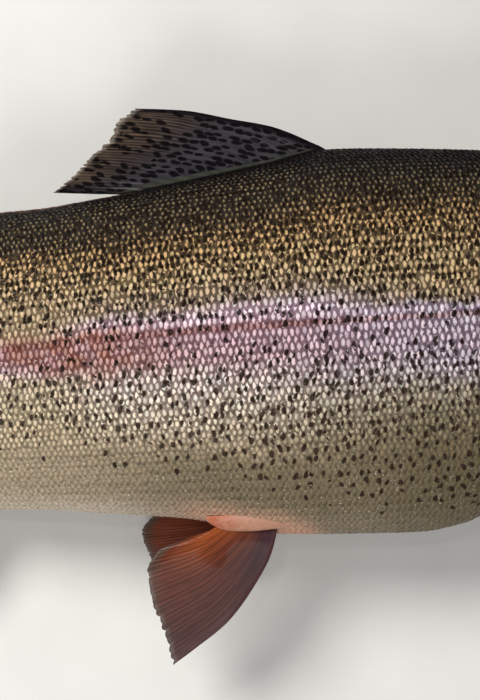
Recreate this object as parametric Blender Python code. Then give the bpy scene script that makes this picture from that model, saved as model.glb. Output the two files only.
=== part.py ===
"""A large rainbow trout, life size, lying on its left flank as a caught fish rests.

Frame: +X to the snout, +Y to the back, +Z up and out of the right flank, metres. The origin is the middle
of the flat on which the left flank rests, below the dorsal fin. Lengths in this file are in millimetres.

The body is one loft through the stations in BODY, parted by thin cuts into head, gill covers, jaws, trunk
lengths and tail stalk. Each fin is a tapered plate over a patch with four edge curves: its leading ray, its
last ray, its base and the line of its ray tips.
"""

import math

import bpy
import numpy as np
from mathutils import Vector

MM = 0.001
PART_GAP = 0.3  # between neighbouring solids
FIN_GAP = 0.5  # between a fin and the body
FLOOR_BLEND = 3.0  # the flank meets the floor over this height above and below it
RING_POINTS = 34

# Stations from the tail stalk to the snout: x, back, belly, half width, height of the midline over the floor.
BODY = (
    (-362, 46, -44, 5.2, 21),
    (-330, 42, -40, 15, 27),
    (-290, 45, -43, 23, 34),
    (-235, 62, -58, 34, 43),
    (-190, 79, -76, 43, 49),
    (-149, 90.5, -88.8, 51, 55),
    (-117, 91.5, -90.5, 56, 59),
    (-85, 95, -94, 61, 61),
    (-42, 100.5, -98.5, 66, 63),
    (19, 110, -111, 70, 65.5),
    (60, 117.3, -113, 71, 66.5),
    (101, 115.5, -114, 71, 66.5),
    (128, 113.8, -110, 70.5, 66),
    (148, 112.2, -101, 69.5, 65.5),
    (200, 103.5, -82.5, 65, 62.5),
    (264, 88, -65, 57, 56.5),
    (318, 69.5, -52, 50, 51.5),
    (360, 52, -41.5, 39.5, 47.5),
    (395, 35.5, -30, 29, 44.5),
    (424, 17, -18, 20, 43),
)
SNOUT_X = 424
TAIL_END_X = -362
NOSE_RADIUS = 26
WIDEST_SHARE = 0.5  # where the section is widest, as a share of its depth from the belly
FULLNESS_BACK = 2.1  # superellipse exponent of the section's upper half
FULLNESS_BELLY = ((-362, 2.35), (262, 2.35), (345, 1.7), (395, 1.75), (424, 2.0))  # the same below, x by x
FIN_PLANE_REST = ((-460, 1.2), (-440, 3.0), (-400, 12.0), (-362, 21.0))  # the midline behind the stalk

# Where the trunk is parted.
TRUNK_CUTS = (90, -90, -230)

# The rear edge of the gill covers, seen from the side: y, x from the throat to the nape.
GILL_EDGE = ((-75, 330), (-56, 312), (-42, 288), (-20, 268), (15, 262), (45, 271), (64, 290), (90, 297))
# The front edge of the gill cover, against the cheek.
GILL_FRONT = ((-75, 336), (-40, 329), (0, 320), (50, 312), (90, 310))
GILL_COVER_LOW, GILL_COVER_HIGH = -40, 58
GILL_COVER_THICK = 6

# The gape from the snout back to the jaw joint, and the foot of the jaw.
GAPE = ((440, 0), (410, -3), (385, -8), (360, -16), (338, -25))
JAW_REAR_LOW = (326, -70)
# The upper jaw bone behind the snout, a plate over the corner of the mouth.
MAXILLA_TOP = ((404, 7), (385, 1), (360, -5), (341, -11))
MAXILLA_THICK = 3.5

EYE_X, EYE_Y, EYE_RADIUS, EYE_BULGE = 366, 21, 12.5, 3.4
LENS_SQUASH = 0.8

SKIN_COLOURS = {
    "head": (0.20, 0.19, 0.12),
    "trunk": (0.36, 0.32, 0.22),
    "gill": (0.46, 0.30, 0.26),
    "jaw": (0.40, 0.37, 0.30),
    "fin_dark": (0.13, 0.11, 0.09),
    "fin_red": (0.34, 0.12, 0.05),
    "eye": (0.03, 0.03, 0.02),
}


# ---------------------------------------------------------------- curves

def smooth_through(knots, values, at):
    """A smooth curve through the knots that never overshoots them (monotone cubic)."""
    knots, values, at = (np.asarray(v, float) for v in (knots, values, at))
    step = np.diff(knots)
    slope = np.diff(values) / step
    tangent = np.zeros(len(knots))
    tangent[0], tangent[-1] = slope[0], slope[-1]
    for i in range(1, len(knots) - 1):
        if slope[i - 1] * slope[i] > 0:
            w1, w2 = 2 * step[i] + step[i - 1], step[i] + 2 * step[i - 1]
            tangent[i] = (w1 + w2) / (w1 / slope[i - 1] + w2 / slope[i])
    at = np.clip(at, knots[0], knots[-1])
    cell = np.clip(np.searchsorted(knots, at, side="right") - 1, 0, len(step) - 1)
    t = (at - knots[cell]) / step[cell]
    return (
        (2 * t**3 - 3 * t**2 + 1) * values[cell]
        + (t**3 - 2 * t**2 + t) * step[cell] * tangent[cell]
        + (3 * t**2 - 2 * t**3) * values[cell + 1]
        + (t**3 - t**2) * step[cell] * tangent[cell + 1]
    )


def path(points, share):
    """Points at these shares of the way along a smooth curve through the given points."""
    points = np.asarray(points, float)
    way = np.concatenate([[0], np.cumsum(np.linalg.norm(np.diff(points, axis=0), axis=1))])
    share = np.atleast_1d(share) * way[-1]
    return np.stack([smooth_through(way, column, share) for column in points.T], axis=-1)


# ---------------------------------------------------------------- the body

STATIONS = np.array(BODY, float)


def station(column, x):
    return smooth_through(STATIONS[:, 0], STATIONS[:, column], x)


def nose_taper(x, grow=0.0):
    """1 along the body, falling to 0 at the snout as a quarter of an ellipse does."""
    behind = np.clip((SNOUT_X + grow - x) / NOSE_RADIUS, 0, 1)
    return math.sqrt(1 - (1 - behind) ** 2)


def section(x, grow=0.0):
    """(level of the widest part, reach up, reach down, half width, midline height) of the body at x."""
    back, belly, half, height = (float(station(k, x)) for k in (1, 2, 3, 4))
    widest = belly + WIDEST_SHARE * (back - belly)
    taper = nose_taper(x, grow)
    up, down = (back - widest + grow) * taper, (widest - belly + grow) * taper
    return widest, up, down, (half + grow) * taper, height


def belly_fullness(x):
    knots, values = zip(*FULLNESS_BELLY)
    return float(smooth_through(knots, values, x))


def settled(z):
    """Height above the floor once the soft flank has flattened on it."""
    z = np.asarray(z, float)
    lifted = (z + FLOOR_BLEND) ** 2 / (4 * FLOOR_BLEND)
    return np.where(z <= -FLOOR_BLEND, 0.0, np.where(z >= FLOOR_BLEND, z, lifted))


def ring(x, grow=0.0, points=RING_POINTS):
    """Points round the body at x, from the right flank over the back."""
    widest, up, down, half, height = section(x, grow)
    angle = np.arange(points) * 2 * math.pi / points
    across, along = np.cos(angle), np.sin(angle)
    power = 2 / np.where(along > 0, FULLNESS_BACK, belly_fullness(x))
    z = height + half * np.sign(across) * np.abs(across) ** power
    y = widest + np.where(along > 0, up, down) * np.sign(along) * np.abs(along) ** power
    return np.stack([np.full(points, x), y, settled(z)], axis=-1)


def flank_offset(x, y):
    """How far the flank stands from the midline at this height on its side."""
    widest, up, down, half, _ = section(x)
    above = y > widest
    share = (y - widest) / up if above else (widest - y) / down
    power = FULLNESS_BACK if above else belly_fullness(x)
    return half * max(0.0, 1 - min(share, 1.0) ** power) ** (1 / power)


def loft_stations(x_low, x_high, spacing=15.0):
    """Stations between two ends, closer together in the nose."""
    nose_start = SNOUT_X - NOSE_RADIUS
    straight_end = min(x_high, nose_start)
    count = max(2, int(math.ceil((straight_end - x_low) / spacing)) + 1)
    found = list(np.linspace(x_low, straight_end, count))
    if x_high > nose_start:
        reach = x_high - nose_start
        found += [nose_start + reach * math.sin(t * math.pi / 2) for t in (0.25, 0.48, 0.68, 0.83)]
        found.append(x_high - 0.008 * NOSE_RADIUS)
    return found


# ---------------------------------------------------------------- meshes

def new_object(name, points, faces, colour=None):
    mesh = bpy.data.meshes.new(name)
    mesh.from_pydata([Vector(p) * MM for p in points], [], faces)
    made = bpy.data.objects.new(name, mesh)
    bpy.context.scene.collection.objects.link(made)
    if colour:
        mesh.materials.append(skin_material(colour))
    return made


def skin_material(colour):
    found = bpy.data.materials.get(colour)
    if found:
        return found
    made = bpy.data.materials.new(colour)
    made.use_nodes = True
    surface = made.node_tree.nodes["Principled BSDF"]
    surface.inputs["Base Color"].default_value = (*SKIN_COLOURS[colour], 1)
    surface.inputs["Roughness"].default_value = 0.15 if colour == "eye" else 0.35
    surface.inputs["Metallic"].default_value = 0.0
    return made


def ring_faces(rings, points):
    """Faces of a closed loft: its sides and a cap at each end."""
    sides = []
    for start in range(0, (rings - 1) * points, points):
        for j in range(points):
            after = (j + 1) % points
            sides.append((start + j, start + after, start + points + after, start + points + j))
    low_cap = tuple(reversed(range(points)))
    high_cap = tuple(range((rings - 1) * points, rings * points))
    return [face[::-1] for face in sides] + [low_cap[::-1], high_cap[::-1]]


def body_loft(name, x_low, x_high, grow=0.0, colour=None, spacing=15.0):
    stations = loft_stations(x_low, x_high, spacing)
    points = np.concatenate([ring(x, grow) for x in stations])
    made = new_object(name, points, ring_faces(len(stations), RING_POINTS), colour)
    face_outwards(made)
    return made


def face_outwards(made):
    """Turns the faces of a closed mesh outwards."""
    mesh = made.data
    mesh.calc_loop_triangles()
    volume = sum(
        mesh.vertices[a].co.dot(mesh.vertices[b].co.cross(mesh.vertices[c].co))
        for a, b, c in (t.vertices for t in mesh.loop_triangles)
    )
    if volume < 0:
        mesh.flip_normals()


def prism(name, outline, low, high):
    """An outline in the side view, extruded across the fish from low to high."""
    count = len(outline)
    points = [(x, y, low) for x, y in outline] + [(x, y, high) for x, y in outline]
    faces = [tuple(range(count)), tuple(reversed(range(count, 2 * count)))]
    faces += [(k, k + count, (k + 1) % count + count, (k + 1) % count) for k in range(count)]
    made = new_object(name, points, faces)
    face_outwards(made)
    return made


def boolean(target, tool, operation):
    """Applies one exact Boolean to target's mesh."""
    step = target.modifiers.new("cut", "BOOLEAN")
    step.operation, step.object, step.solver = operation, tool, "EXACT"
    bpy.context.view_layer.update()
    graph = bpy.context.evaluated_depsgraph_get()
    shaped = bpy.data.meshes.new_from_object(target.evaluated_get(graph))
    target.modifiers.clear()
    target.data = shaped


def copy_of(source, name, colour=None):
    made = source.copy()
    made.data = source.data.copy()
    made.name = name
    bpy.context.scene.collection.objects.link(made)
    if colour:
        made.data.materials.clear()
        made.data.materials.append(skin_material(colour))
    return made


def discard(*helpers):
    for helper in helpers:
        bpy.data.objects.remove(helper)


# ---------------------------------------------------------------- head and trunk

FAR = 200  # beyond the fish on every side


def edge_points(edge, low, high, shift=0.0, count=12):
    """(x, y) along an edge given as (y, x), moved along X by shift."""
    levels = np.linspace(low, high, count)
    knots = np.array(edge, float)
    return list(zip(smooth_through(knots[:, 0], knots[:, 1], levels) + shift, levels))


def head_side_outline(shift):
    """Everything in front of the gill opening."""
    rear = edge_points(GILL_EDGE, -75, 90, shift, 16)
    return [(rear[0][0], -FAR), *rear, (rear[-1][0], FAR), (SNOUT_X + FAR, FAR), (SNOUT_X + FAR, -FAR)]


def gill_cover_outline(grow):
    low, high = GILL_COVER_LOW - grow, GILL_COVER_HIGH + grow
    rear = edge_points(GILL_EDGE, low, high, -30)
    front = edge_points(GILL_FRONT, low, high, grow)
    return rear + front[::-1]


def lower_jaw_outline(grow):
    gape = [(x, y + grow) for x, y in GAPE]
    return [*gape, (JAW_REAR_LOW[0] - grow, JAW_REAR_LOW[1]), (SNOUT_X + FAR, JAW_REAR_LOW[1])]


def maxilla_outline(grow):
    """Between the bone's upper edge and the gape, which parts it from the lower jaw."""
    top = [(x, y + grow) for x, y in MAXILLA_TOP]
    rear = [(MAXILLA_TOP[-1][0] - 4 - grow, -17), (338 - grow, -24 - grow)]
    low = [(x, y - 3) for x, y in GAPE[::-1][:3]]
    return [*top, *rear, *low, (405 + grow, -8)]


def plate_from(head, name, colour, outline, thickness, side):
    """Cuts a plate of the head's own surface out of it, on one side, and keeps a thin gap round it."""
    midline = 47
    low, high = (midline, FAR) if side > 0 else (-FAR, midline)
    half_gap = PART_GAP / 2
    core = body_loft("core", 200, SNOUT_X - thickness, -thickness + half_gap)
    deep_core = body_loft("deep_core", 200, SNOUT_X - thickness, -thickness - half_gap)
    inner, outer = prism("inner", outline(-half_gap), low, high), prism("outer", outline(half_gap), low, high)
    plate = copy_of(head, name, colour)
    boolean(plate, inner, "INTERSECT")
    boolean(plate, core, "DIFFERENCE")
    boolean(outer, deep_core, "DIFFERENCE")
    boolean(head, outer, "DIFFERENCE")
    discard(core, deep_core, inner, outer)
    return plate


def eye_place(side):
    """Centre of an eyeball: it stands out of the cheek by EYE_BULGE."""
    height = section(EYE_X)[4]
    out = flank_offset(EYE_X, EYE_Y) - EYE_RADIUS * LENS_SQUASH + EYE_BULGE
    return Vector((EYE_X, EYE_Y, height + side * out))


def eyeball(name, side, grow=0.0, colour=None):
    """A flattened ball, its axis across the head."""
    rings, around = 10, 16
    radius = EYE_RADIUS + grow
    centre = eye_place(side)
    points = []
    for i in range(1, rings):
        tilt = math.pi * i / rings
        for j in range(around):
            turn = 2 * math.pi * j / around
            flat = math.sin(tilt)
            offset = Vector((flat * math.cos(turn), flat * math.sin(turn), LENS_SQUASH * math.cos(tilt)))
            points.append(centre + radius * offset)
    made = new_object(name, points, ring_faces(rings - 1, around), colour)
    face_outwards(made)
    return made


def build_head():
    block = body_loft("head", 240, SNOUT_X, colour="head", spacing=12)
    front = prism("front", head_side_outline(PART_GAP / 2), -FAR, FAR)
    boolean(block, front, "INTERSECT")
    discard(front)
    jaw = copy_of(block, "lower_jaw", "jaw")
    jaw_in, jaw_out = (prism("jaw", lower_jaw_outline(g), -FAR, FAR) for g in (-PART_GAP / 2, PART_GAP / 2))
    boolean(jaw, jaw_in, "INTERSECT")
    boolean(block, jaw_out, "DIFFERENCE")
    discard(jaw_in, jaw_out)
    for side, word in ((1, "right"), (-1, "left")):
        plate_from(block, f"gill_cover_{word}", "gill", gill_cover_outline, GILL_COVER_THICK, side)
        plate_from(block, f"maxilla_{word}", "jaw", maxilla_outline, MAXILLA_THICK, side)
        socket = eyeball("socket", side, PART_GAP)
        boolean(block, socket, "DIFFERENCE")
        discard(socket)
        eyeball(f"eye_{word}", side, colour="eye")


def build_trunk():
    ends = (345, *TRUNK_CUTS, TAIL_END_X)
    names = ("trunk_front", "trunk_middle", "trunk_rear", "tail_stalk")
    for name, high, low in zip(names, ends, ends[1:]):
        low = low + PART_GAP / 2 if low != TAIL_END_X else low
        made = body_loft(name, low, high - PART_GAP / 2, colour="trunk")
        if name == "trunk_front":
            front = prism("front", head_side_outline(-PART_GAP / 2), -FAR, FAR)
            boolean(made, front, "DIFFERENCE")
            discard(front)


# ---------------------------------------------------------------- fins

# Each curve's points are x, y and the height above the midline. base and tips run from the leading ray to
# the last ray; lead and last run from the base to the tip.
FINS = {
    "dorsal_fin": dict(
        colour="fin_dark", thick=(5.0, 0.8), grid=(9, 8),
        lead=((53, 110, 0), (46, 125, 0), (34, 131, 0), (7, 137, 0), (-26, 146, 0), (-55.5, 148.4, 0)),
        last=((-52, 90, 0), (-63, 96.5, 0), (-85, 98.5, 0), (-107.6, 100.5, 0)),
        base=((53, 110, 0), (0, 99, 0), (-52, 90, 0)),
        tips=(
            (-55.5, 148.4, 0), (-67, 141.8, 0), (-73, 131, 0), (-83, 122, 0), (-92, 113, 0), (-107.6, 100.5, 0),
        ),
    ),
    "adipose_fin": dict(
        colour="fin_dark", thick=(5.0, 1.6), grid=(4, 5),
        lead=((-231, 56, 0), (-243, 73, 0), (-262, 86, 0)),
        last=((-254, 48, 0), (-261, 62, 0), (-272, 77, 0)),
        base=((-231, 56, 0), (-254, 48, 0)),
        tips=((-262, 86, 0), (-270, 84, 0), (-272, 77, 0)),
    ),
    "anal_fin": dict(
        colour="fin_red", thick=(5.0, 0.8), grid=(9, 7),
        lead=((-156, -80, 0), (-175, -111, 0), (-195, -131, 0), (-212, -143, 0)),
        last=((-230, -52, 0), (-246, -62, 0), (-264, -69, 0)),
        base=((-156, -80, 0), (-193, -67, 0), (-230, -52, 0)),
        tips=((-212, -143, 0), (-222, -125, 0), (-235, -104, 0), (-250, -84, 0), (-264, -69, 0)),
    ),
    "caudal_fin": dict(
        colour="fin_dark", thick=(11.0, 0.9), grid=(14, 7),
        lead=((-350, 43, 0), (-380, 60, 0), (-415, 79.5, 0), (-447, 92, 0)),
        last=((-350, -41, 0), (-380, -57, 0), (-415, -75.5, 0), (-445, -87, 0)),
        base=((-350, 43, 0), (-350, 1, 0), (-350, -41, 0)),
        tips=(
            (-447, 92, 0), (-451, 84, 0), (-442, 58, 0), (-433, 30, 0),
            (-430, 2, 0), (-433, -26, 0), (-441, -54, 0), (-449, -79, 0), (-445, -87, 0),
        ),
    ),
    "pelvic_fin_right": dict(
        colour="fin_red", thick=(6.0, 0.8), grid=(8, 8),
        lead=((14, -101, 22), (13, -120, 21), (3, -138, 19), (-22, -168, 14), (-49.4, -186, 8)),
        last=((-12, -94, 20), (-22, -104, 22), (-36, -108.5, 22)),
        base=((14, -101, 22), (2, -98, 21), (-12, -94, 20)),
        tips=(
            (-49.4, -186, 8), (-55, -163, 12), (-60.5, -143, 17),
            (-61.5, -127, 20), (-55, -116, 22), (-36, -108.5, 22),
        ),
    ),
    "pelvic_fin_left": dict(
        colour="fin_red", thick=(6.0, 0.8), grid=(8, 8),
        lead=((14, -101, -22), (10, -118, -27), (-14, -136, -38), (-50, -149, -52)),
        last=((-12, -94, -20), (-30, -99, -30), (-58, -99, -42)),
        base=((14, -101, -22), (2, -98, -21), (-12, -94, -20)),
        tips=((-50, -149, -52), (-60, -135, -52), (-66, -122, -50), (-68, -111, -47), (-58, -99, -42)),
    ),
    "pectoral_fin_right": dict(
        colour="fin_red", thick=(6.0, 0.8), grid=(8, 8),
        lead=((257, -42, 32), (245, -51, 43), (215, -62, 46), (163, -83, 44)),
        last=((250, -55, 24), (236, -66, 32), (216, -79, 33)),
        base=((257, -42, 32), (254, -49, 28), (250, -55, 24)),
        tips=((163, -83, 44), (172, -95, 41), (188, -98, 38), (204, -91, 35), (216, -79, 33)),
    ),
    "pectoral_fin_left": dict(
        colour="fin_red", thick=(6.0, 0.8), grid=(8, 8),
        lead=((257, -42, -32), (246, -54, -43), (218, -76, -53), (166, -104, -61.5)),
        last=((250, -55, -24), (238, -70, -34), (222, -88, -45)),
        base=((257, -42, -32), (254, -49, -28), (250, -55, -24)),
        tips=((166, -104, -61.5), (178, -115, -60), (196, -115, -56), (212, -104, -50), (222, -88, -45)),
    ),
}


def midline_height(x):
    """Height of the body's middle plane at x, carried on behind the stalk where the tail fin droops."""
    behind = np.array(FIN_PLANE_REST, float)
    return np.where(
        np.asarray(x) < TAIL_END_X,
        smooth_through(behind[:, 0], behind[:, 1], x),
        station(4, x),
    )


def patch(fin, across, along):
    """A grid of points on the surface that the fin's four edge curves span."""
    u, v = np.linspace(0, 1, across), np.linspace(0, 1, along)
    lead, last = path(fin["lead"], v)[None], path(fin["last"], v)[None]
    base, tips = path(fin["base"], u)[:, None], path(fin["tips"], u)[:, None]
    u, v = u[:, None, None], v[None, :, None]
    corners = (1 - u) * (1 - v) * base[0] + (1 - u) * v * tips[0] + u * (1 - v) * base[-1] + u * v * tips[-1]
    grid = (1 - u) * lead + u * last + (1 - v) * base + v * tips - corners
    grid[..., 2] += midline_height(grid[..., 0])
    return grid


def normals_of(grid):
    du, dv = np.gradient(grid, axis=0), np.gradient(grid, axis=1)
    found = np.cross(du, dv)
    return found / np.linalg.norm(found, axis=-1, keepdims=True)


def plate_over(name, grid, half, colour):
    """A closed plate: the grid moved out by half its thickness on each side, with a rim between."""
    across, along = grid.shape[:2]
    shift = normals_of(grid) * half[None, :, None]
    points = np.concatenate([(grid + shift).reshape(-1, 3), (grid - shift).reshape(-1, 3)])
    under = across * along
    faces = []
    for i in range(across - 1):
        for j in range(along - 1):
            a, b = i * along + j, (i + 1) * along + j
            faces.append((a, b, b + 1, a + 1))
            faces.append((a + under, a + 1 + under, b + 1 + under, b + under))
    border = [i * along for i in range(across)]
    border += [(across - 1) * along + j for j in range(1, along)]
    border += [i * along + along - 1 for i in range(across - 2, -1, -1)]
    border += list(range(along - 2, 0, -1))
    for a, b in zip(border, border[1:] + border[:1]):
        faces.append((b, a, a + under, b + under))
    made = new_object(name, points, faces, colour)
    face_outwards(made)
    return made


def build_fins():
    skin = body_loft("fin_cutter", TAIL_END_X - FIN_GAP, SNOUT_X, FIN_GAP, spacing=10)
    for name, fin in FINS.items():
        across, along = fin["grid"]
        at_base, at_edge = fin["thick"]
        share = np.linspace(0, 1, along)
        half = (at_edge + (at_base - at_edge) * (1 - share) ** 1.6) / 2
        made = plate_over(name, patch(fin, across, along), half, fin["colour"])
        boolean(made, skin, "DIFFERENCE")
    discard(skin)


def clear_scene():
    for old in list(bpy.data.objects):
        bpy.data.objects.remove(old)


def main():
    clear_scene()
    build_head()
    build_trunk()
    build_fins()
    for made in bpy.context.scene.objects:
        made.data.shade_smooth()
        made.data.set_sharp_from_angle(angle=math.radians(40))


main()
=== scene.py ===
"""Looks of a large rainbow trout that lies on its left flank: skin, scales, fins and eyes over the CAD frame.

Frame: +X to the snout, +Y to the back, +Z up and out of the right flank. Lengths in this file are in
millimetres until a mesh is made.

The skin is one closed loft through the stations in BODY, with the head's folds raised on it. The scales are
small domed tiles on a lattice whose rows run along the lateral line. A fin is a ribbed plate over a patch
with four edge curves. Skin and scales share their markings, which are worked out from the place on the flank.
"""

import math
from types import SimpleNamespace

import bpy
import numpy as np
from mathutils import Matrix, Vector


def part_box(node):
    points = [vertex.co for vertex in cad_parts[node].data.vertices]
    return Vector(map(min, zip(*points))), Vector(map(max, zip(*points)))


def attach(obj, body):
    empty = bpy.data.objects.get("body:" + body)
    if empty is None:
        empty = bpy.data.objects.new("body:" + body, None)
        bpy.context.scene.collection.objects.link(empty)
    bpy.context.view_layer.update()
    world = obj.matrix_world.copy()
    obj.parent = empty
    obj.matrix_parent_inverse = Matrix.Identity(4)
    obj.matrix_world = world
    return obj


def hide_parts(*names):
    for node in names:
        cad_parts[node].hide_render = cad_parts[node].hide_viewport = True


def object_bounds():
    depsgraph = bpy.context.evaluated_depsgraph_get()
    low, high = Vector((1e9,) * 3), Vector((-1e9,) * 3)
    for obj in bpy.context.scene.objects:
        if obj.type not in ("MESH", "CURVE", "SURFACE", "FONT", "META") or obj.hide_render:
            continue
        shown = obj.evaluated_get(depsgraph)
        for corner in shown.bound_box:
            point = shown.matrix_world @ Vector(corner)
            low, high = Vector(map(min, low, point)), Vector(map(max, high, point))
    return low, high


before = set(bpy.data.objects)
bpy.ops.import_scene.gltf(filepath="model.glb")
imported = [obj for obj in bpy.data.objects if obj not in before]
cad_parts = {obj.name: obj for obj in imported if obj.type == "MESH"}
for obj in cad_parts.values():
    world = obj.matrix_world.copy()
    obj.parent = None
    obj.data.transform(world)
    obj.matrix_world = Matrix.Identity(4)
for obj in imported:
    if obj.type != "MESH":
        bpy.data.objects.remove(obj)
CAD_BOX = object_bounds()

MM = 0.001
RANDOM = np.random.default_rng(11)
WORD = {1: "right", -1: "left"}

# ---------------------------------------------------------------- curves


def stack(*parts):
    return np.stack(parts, axis=-1)


def unit(vectors):
    return vectors / np.maximum(np.linalg.norm(vectors, axis=-1, keepdims=True), 1e-9)


def smooth_through(knots, values, at):
    """A smooth curve through the knots that never overshoots them (monotone cubic)."""
    knots, values, at = (np.asarray(v, float) for v in (knots, values, at))
    step = np.diff(knots)
    slope = np.diff(values) / step
    tangent = np.zeros(len(knots))
    tangent[0], tangent[-1] = slope[0], slope[-1]
    for i in range(1, len(knots) - 1):
        if slope[i - 1] * slope[i] > 0:
            w1, w2 = 2 * step[i] + step[i - 1], step[i] + 2 * step[i - 1]
            tangent[i] = (w1 + w2) / (w1 / slope[i - 1] + w2 / slope[i])
    at = np.clip(at, knots[0], knots[-1])
    cell = np.clip(np.searchsorted(knots, at, side="right") - 1, 0, len(step) - 1)
    t = (at - knots[cell]) / step[cell]
    return (
        (2 * t**3 - 3 * t**2 + 1) * values[cell]
        + (t**3 - 2 * t**2 + t) * step[cell] * tangent[cell]
        + (3 * t**2 - 2 * t**3) * values[cell + 1]
        + (t**3 - t**2) * step[cell] * tangent[cell + 1]
    )


def through(pairs, at):
    """smooth_through for a table of (knot, value) pairs in rising order."""
    table = np.array(pairs, float)
    return smooth_through(table[:, 0], table[:, 1], at)


def path(points, share):
    """Points at these shares of the way along a smooth curve through the given points."""
    points = np.asarray(points, float)
    way = np.concatenate([[0], np.cumsum(np.linalg.norm(np.diff(points, axis=0), axis=1))])
    share = np.atleast_1d(share) * way[-1]
    return stack(*(smooth_through(way, column, share) for column in points.T))


def rise(value, low, high):
    """0 below low, 1 above high, smooth between. low may be the larger one."""
    t = np.clip((np.asarray(value, float) - low) / (high - low), 0, 1)
    return t * t * (3 - 2 * t)


def bell(value, middle, width):
    """1 at the middle, falling to about a third at this width."""
    return np.exp(-(((np.asarray(value, float) - middle) / width) ** 2))


# ---------------------------------------------------------------- the body's surface

# x, back, belly, half width, height of the midline above the floor
BODY = np.array([
    (-378, 49.5, -47.5, 2.6, 17),
    (-362, 46, -44, 5.2, 21),
    (-330, 42, -40, 15, 27),
    (-290, 45, -43, 23, 34),
    (-235, 62, -58, 34, 43),
    (-190, 79, -76, 43, 49),
    (-149, 90.5, -88.8, 51, 55),
    (-117, 91.5, -90.5, 56, 59),
    (-85, 95, -94, 61, 61),
    (-42, 100.5, -98.5, 66, 63),
    (19, 110, -111, 70, 65.5),
    (60, 117.3, -113, 71, 66.5),
    (101, 115.5, -114, 71, 66.5),
    (128, 113.8, -110, 70.5, 66),
    (148, 112.2, -101, 69.5, 65.5),
    (200, 103.5, -82.5, 65, 62.5),
    (264, 88, -65, 57, 56.5),
    (318, 69.5, -52, 50, 51.5),
    (360, 52, -41.5, 39.5, 47.5),
    (395, 35.5, -30, 29, 44.5),
    (424, 17, -18, 20, 43),
])
TAIL_X, NOSE_BEGIN, SNOUT_X, NOSE_RADIUS = -378, 397, 424, 26
FLOOR_BLEND = 3.0
FULLNESS_BACK = 2.1
FULLNESS_BELLY = ((-378, 2.35), (262, 2.35), (345, 1.7), (395, 1.75), (424, 2.0))
LATERAL_LINE = ((-378, 1), (-250, 2.5), (-144, 7.0), (0, 12.8), (145, 14.2), (200, 17), (262, 27), (424, 27))
GILL_EDGE = (
    (-120, 352), (-75, 330), (-56, 312), (-42, 288), (-20, 268), (15, 262), (45, 271), (64, 290), (120, 304),
)
SCALE_DEPTH = 0.65  # the skin lies this far inside, under the scales


def station(column, x):
    return smooth_through(BODY[:, 0], BODY[:, column], x)


def section_point(x, angle, side):
    """Points of the body's surface. angle falls from 90 degrees at the back to -90 at the belly."""
    back, belly, half, height = (station(k, x) for k in (1, 2, 3, 4))
    widest = (back + belly) / 2
    behind = np.clip((SNOUT_X - x) / NOSE_RADIUS, 0, 1)
    taper = np.sqrt(1 - (1 - behind) ** 2)
    across, along = np.abs(np.cos(angle)), np.sin(angle)
    power = 2 / np.where(along > 0, FULLNESS_BACK, through(FULLNESS_BELLY, x))
    reach = np.where(along > 0, back - widest, widest - belly) * taper
    y = widest + reach * np.sign(along) * np.abs(along) ** power
    return y, height + side * half * taper * across**power


def settled(z):
    """Height above the floor once the soft flank has flattened on it."""
    lifted = (z + FLOOR_BLEND) ** 2 / (4 * FLOOR_BLEND)
    return np.where(z <= -FLOOR_BLEND, 0.0, np.where(z >= FLOOR_BLEND, z, lifted))


NOSE_TABLE_X = SNOUT_X - NOSE_RADIUS * (1 - np.sin(np.linspace(0.02, 1.55, 40)))
TABLE_X = np.concatenate([np.linspace(TAIL_X, NOSE_BEGIN, 420), NOSE_TABLE_X])
TABLE_U = np.linspace(0, 1, 201)


def make_tables():
    """For each station: the angles at even shares from back to belly, half the girth, the lateral line."""
    angle = np.linspace(math.pi / 2, -math.pi / 2, 361)
    y, z = section_point(TABLE_X[:, None], angle[None], 1.0)
    arc = np.hypot(np.diff(y, axis=1), np.diff(z, axis=1)).cumsum(axis=1)
    arc = np.concatenate([np.zeros((len(y), 1)), arc], axis=1)
    line = through(LATERAL_LINE, TABLE_X)
    angles = np.array([np.interp(TABLE_U, a / a[-1], angle) for a in arc])
    lateral = np.array([np.interp(-level, -row, a / a[-1]) for level, row, a in zip(line, y, arc)])
    return angles, arc[:, -1], lateral


ANGLE_TABLE, GIRTH_TABLE, LATERAL_TABLE = make_tables()


def angle_at(x, u):
    """The section angle at the share u of the way from back to belly."""
    i = np.clip(np.searchsorted(TABLE_X, x) - 1, 0, len(TABLE_X) - 2)
    f = np.clip((x - TABLE_X[i]) / (TABLE_X[i + 1] - TABLE_X[i]), 0, 1)
    k = u * (len(TABLE_U) - 1)
    j = np.clip(k.astype(int), 0, len(TABLE_U) - 2)
    g = k - j
    low = ANGLE_TABLE[i, j] * (1 - g) + ANGLE_TABLE[i, j + 1] * g
    high = ANGLE_TABLE[i + 1, j] * (1 - g) + ANGLE_TABLE[i + 1, j + 1] * g
    return low * (1 - f) + high * f


def half_girth(x):
    return np.interp(x, TABLE_X, GIRTH_TABLE)


def lateral_share(x):
    return np.interp(x, TABLE_X, LATERAL_TABLE)


def surface(x, u, side):
    x, u, side = np.broadcast_arrays(*(np.asarray(v, float) for v in (x, u, side)))
    y, z = section_point(x, angle_at(x, np.clip(u, 0, 1)), side)
    return stack(x, y, settled(z))


NEAR_X, NEAR_U = 0.6, 0.003  # the steps that slopes of the surface are taken over


def surface_normal(x, u, side):
    """Unit vectors outwards at points of the surface."""
    along = surface(x + NEAR_X, u, side) - surface(x - NEAR_X, u, side)
    down = surface(x, np.minimum(u + NEAR_U, 1), side) - surface(x, np.maximum(u - NEAR_U, 0), side)
    return unit(np.cross(along, down) * -np.asarray(side)[..., None])


OTHER_FLANK = 700.0  # shifts the left flank's markings, so that the two flanks differ


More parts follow.
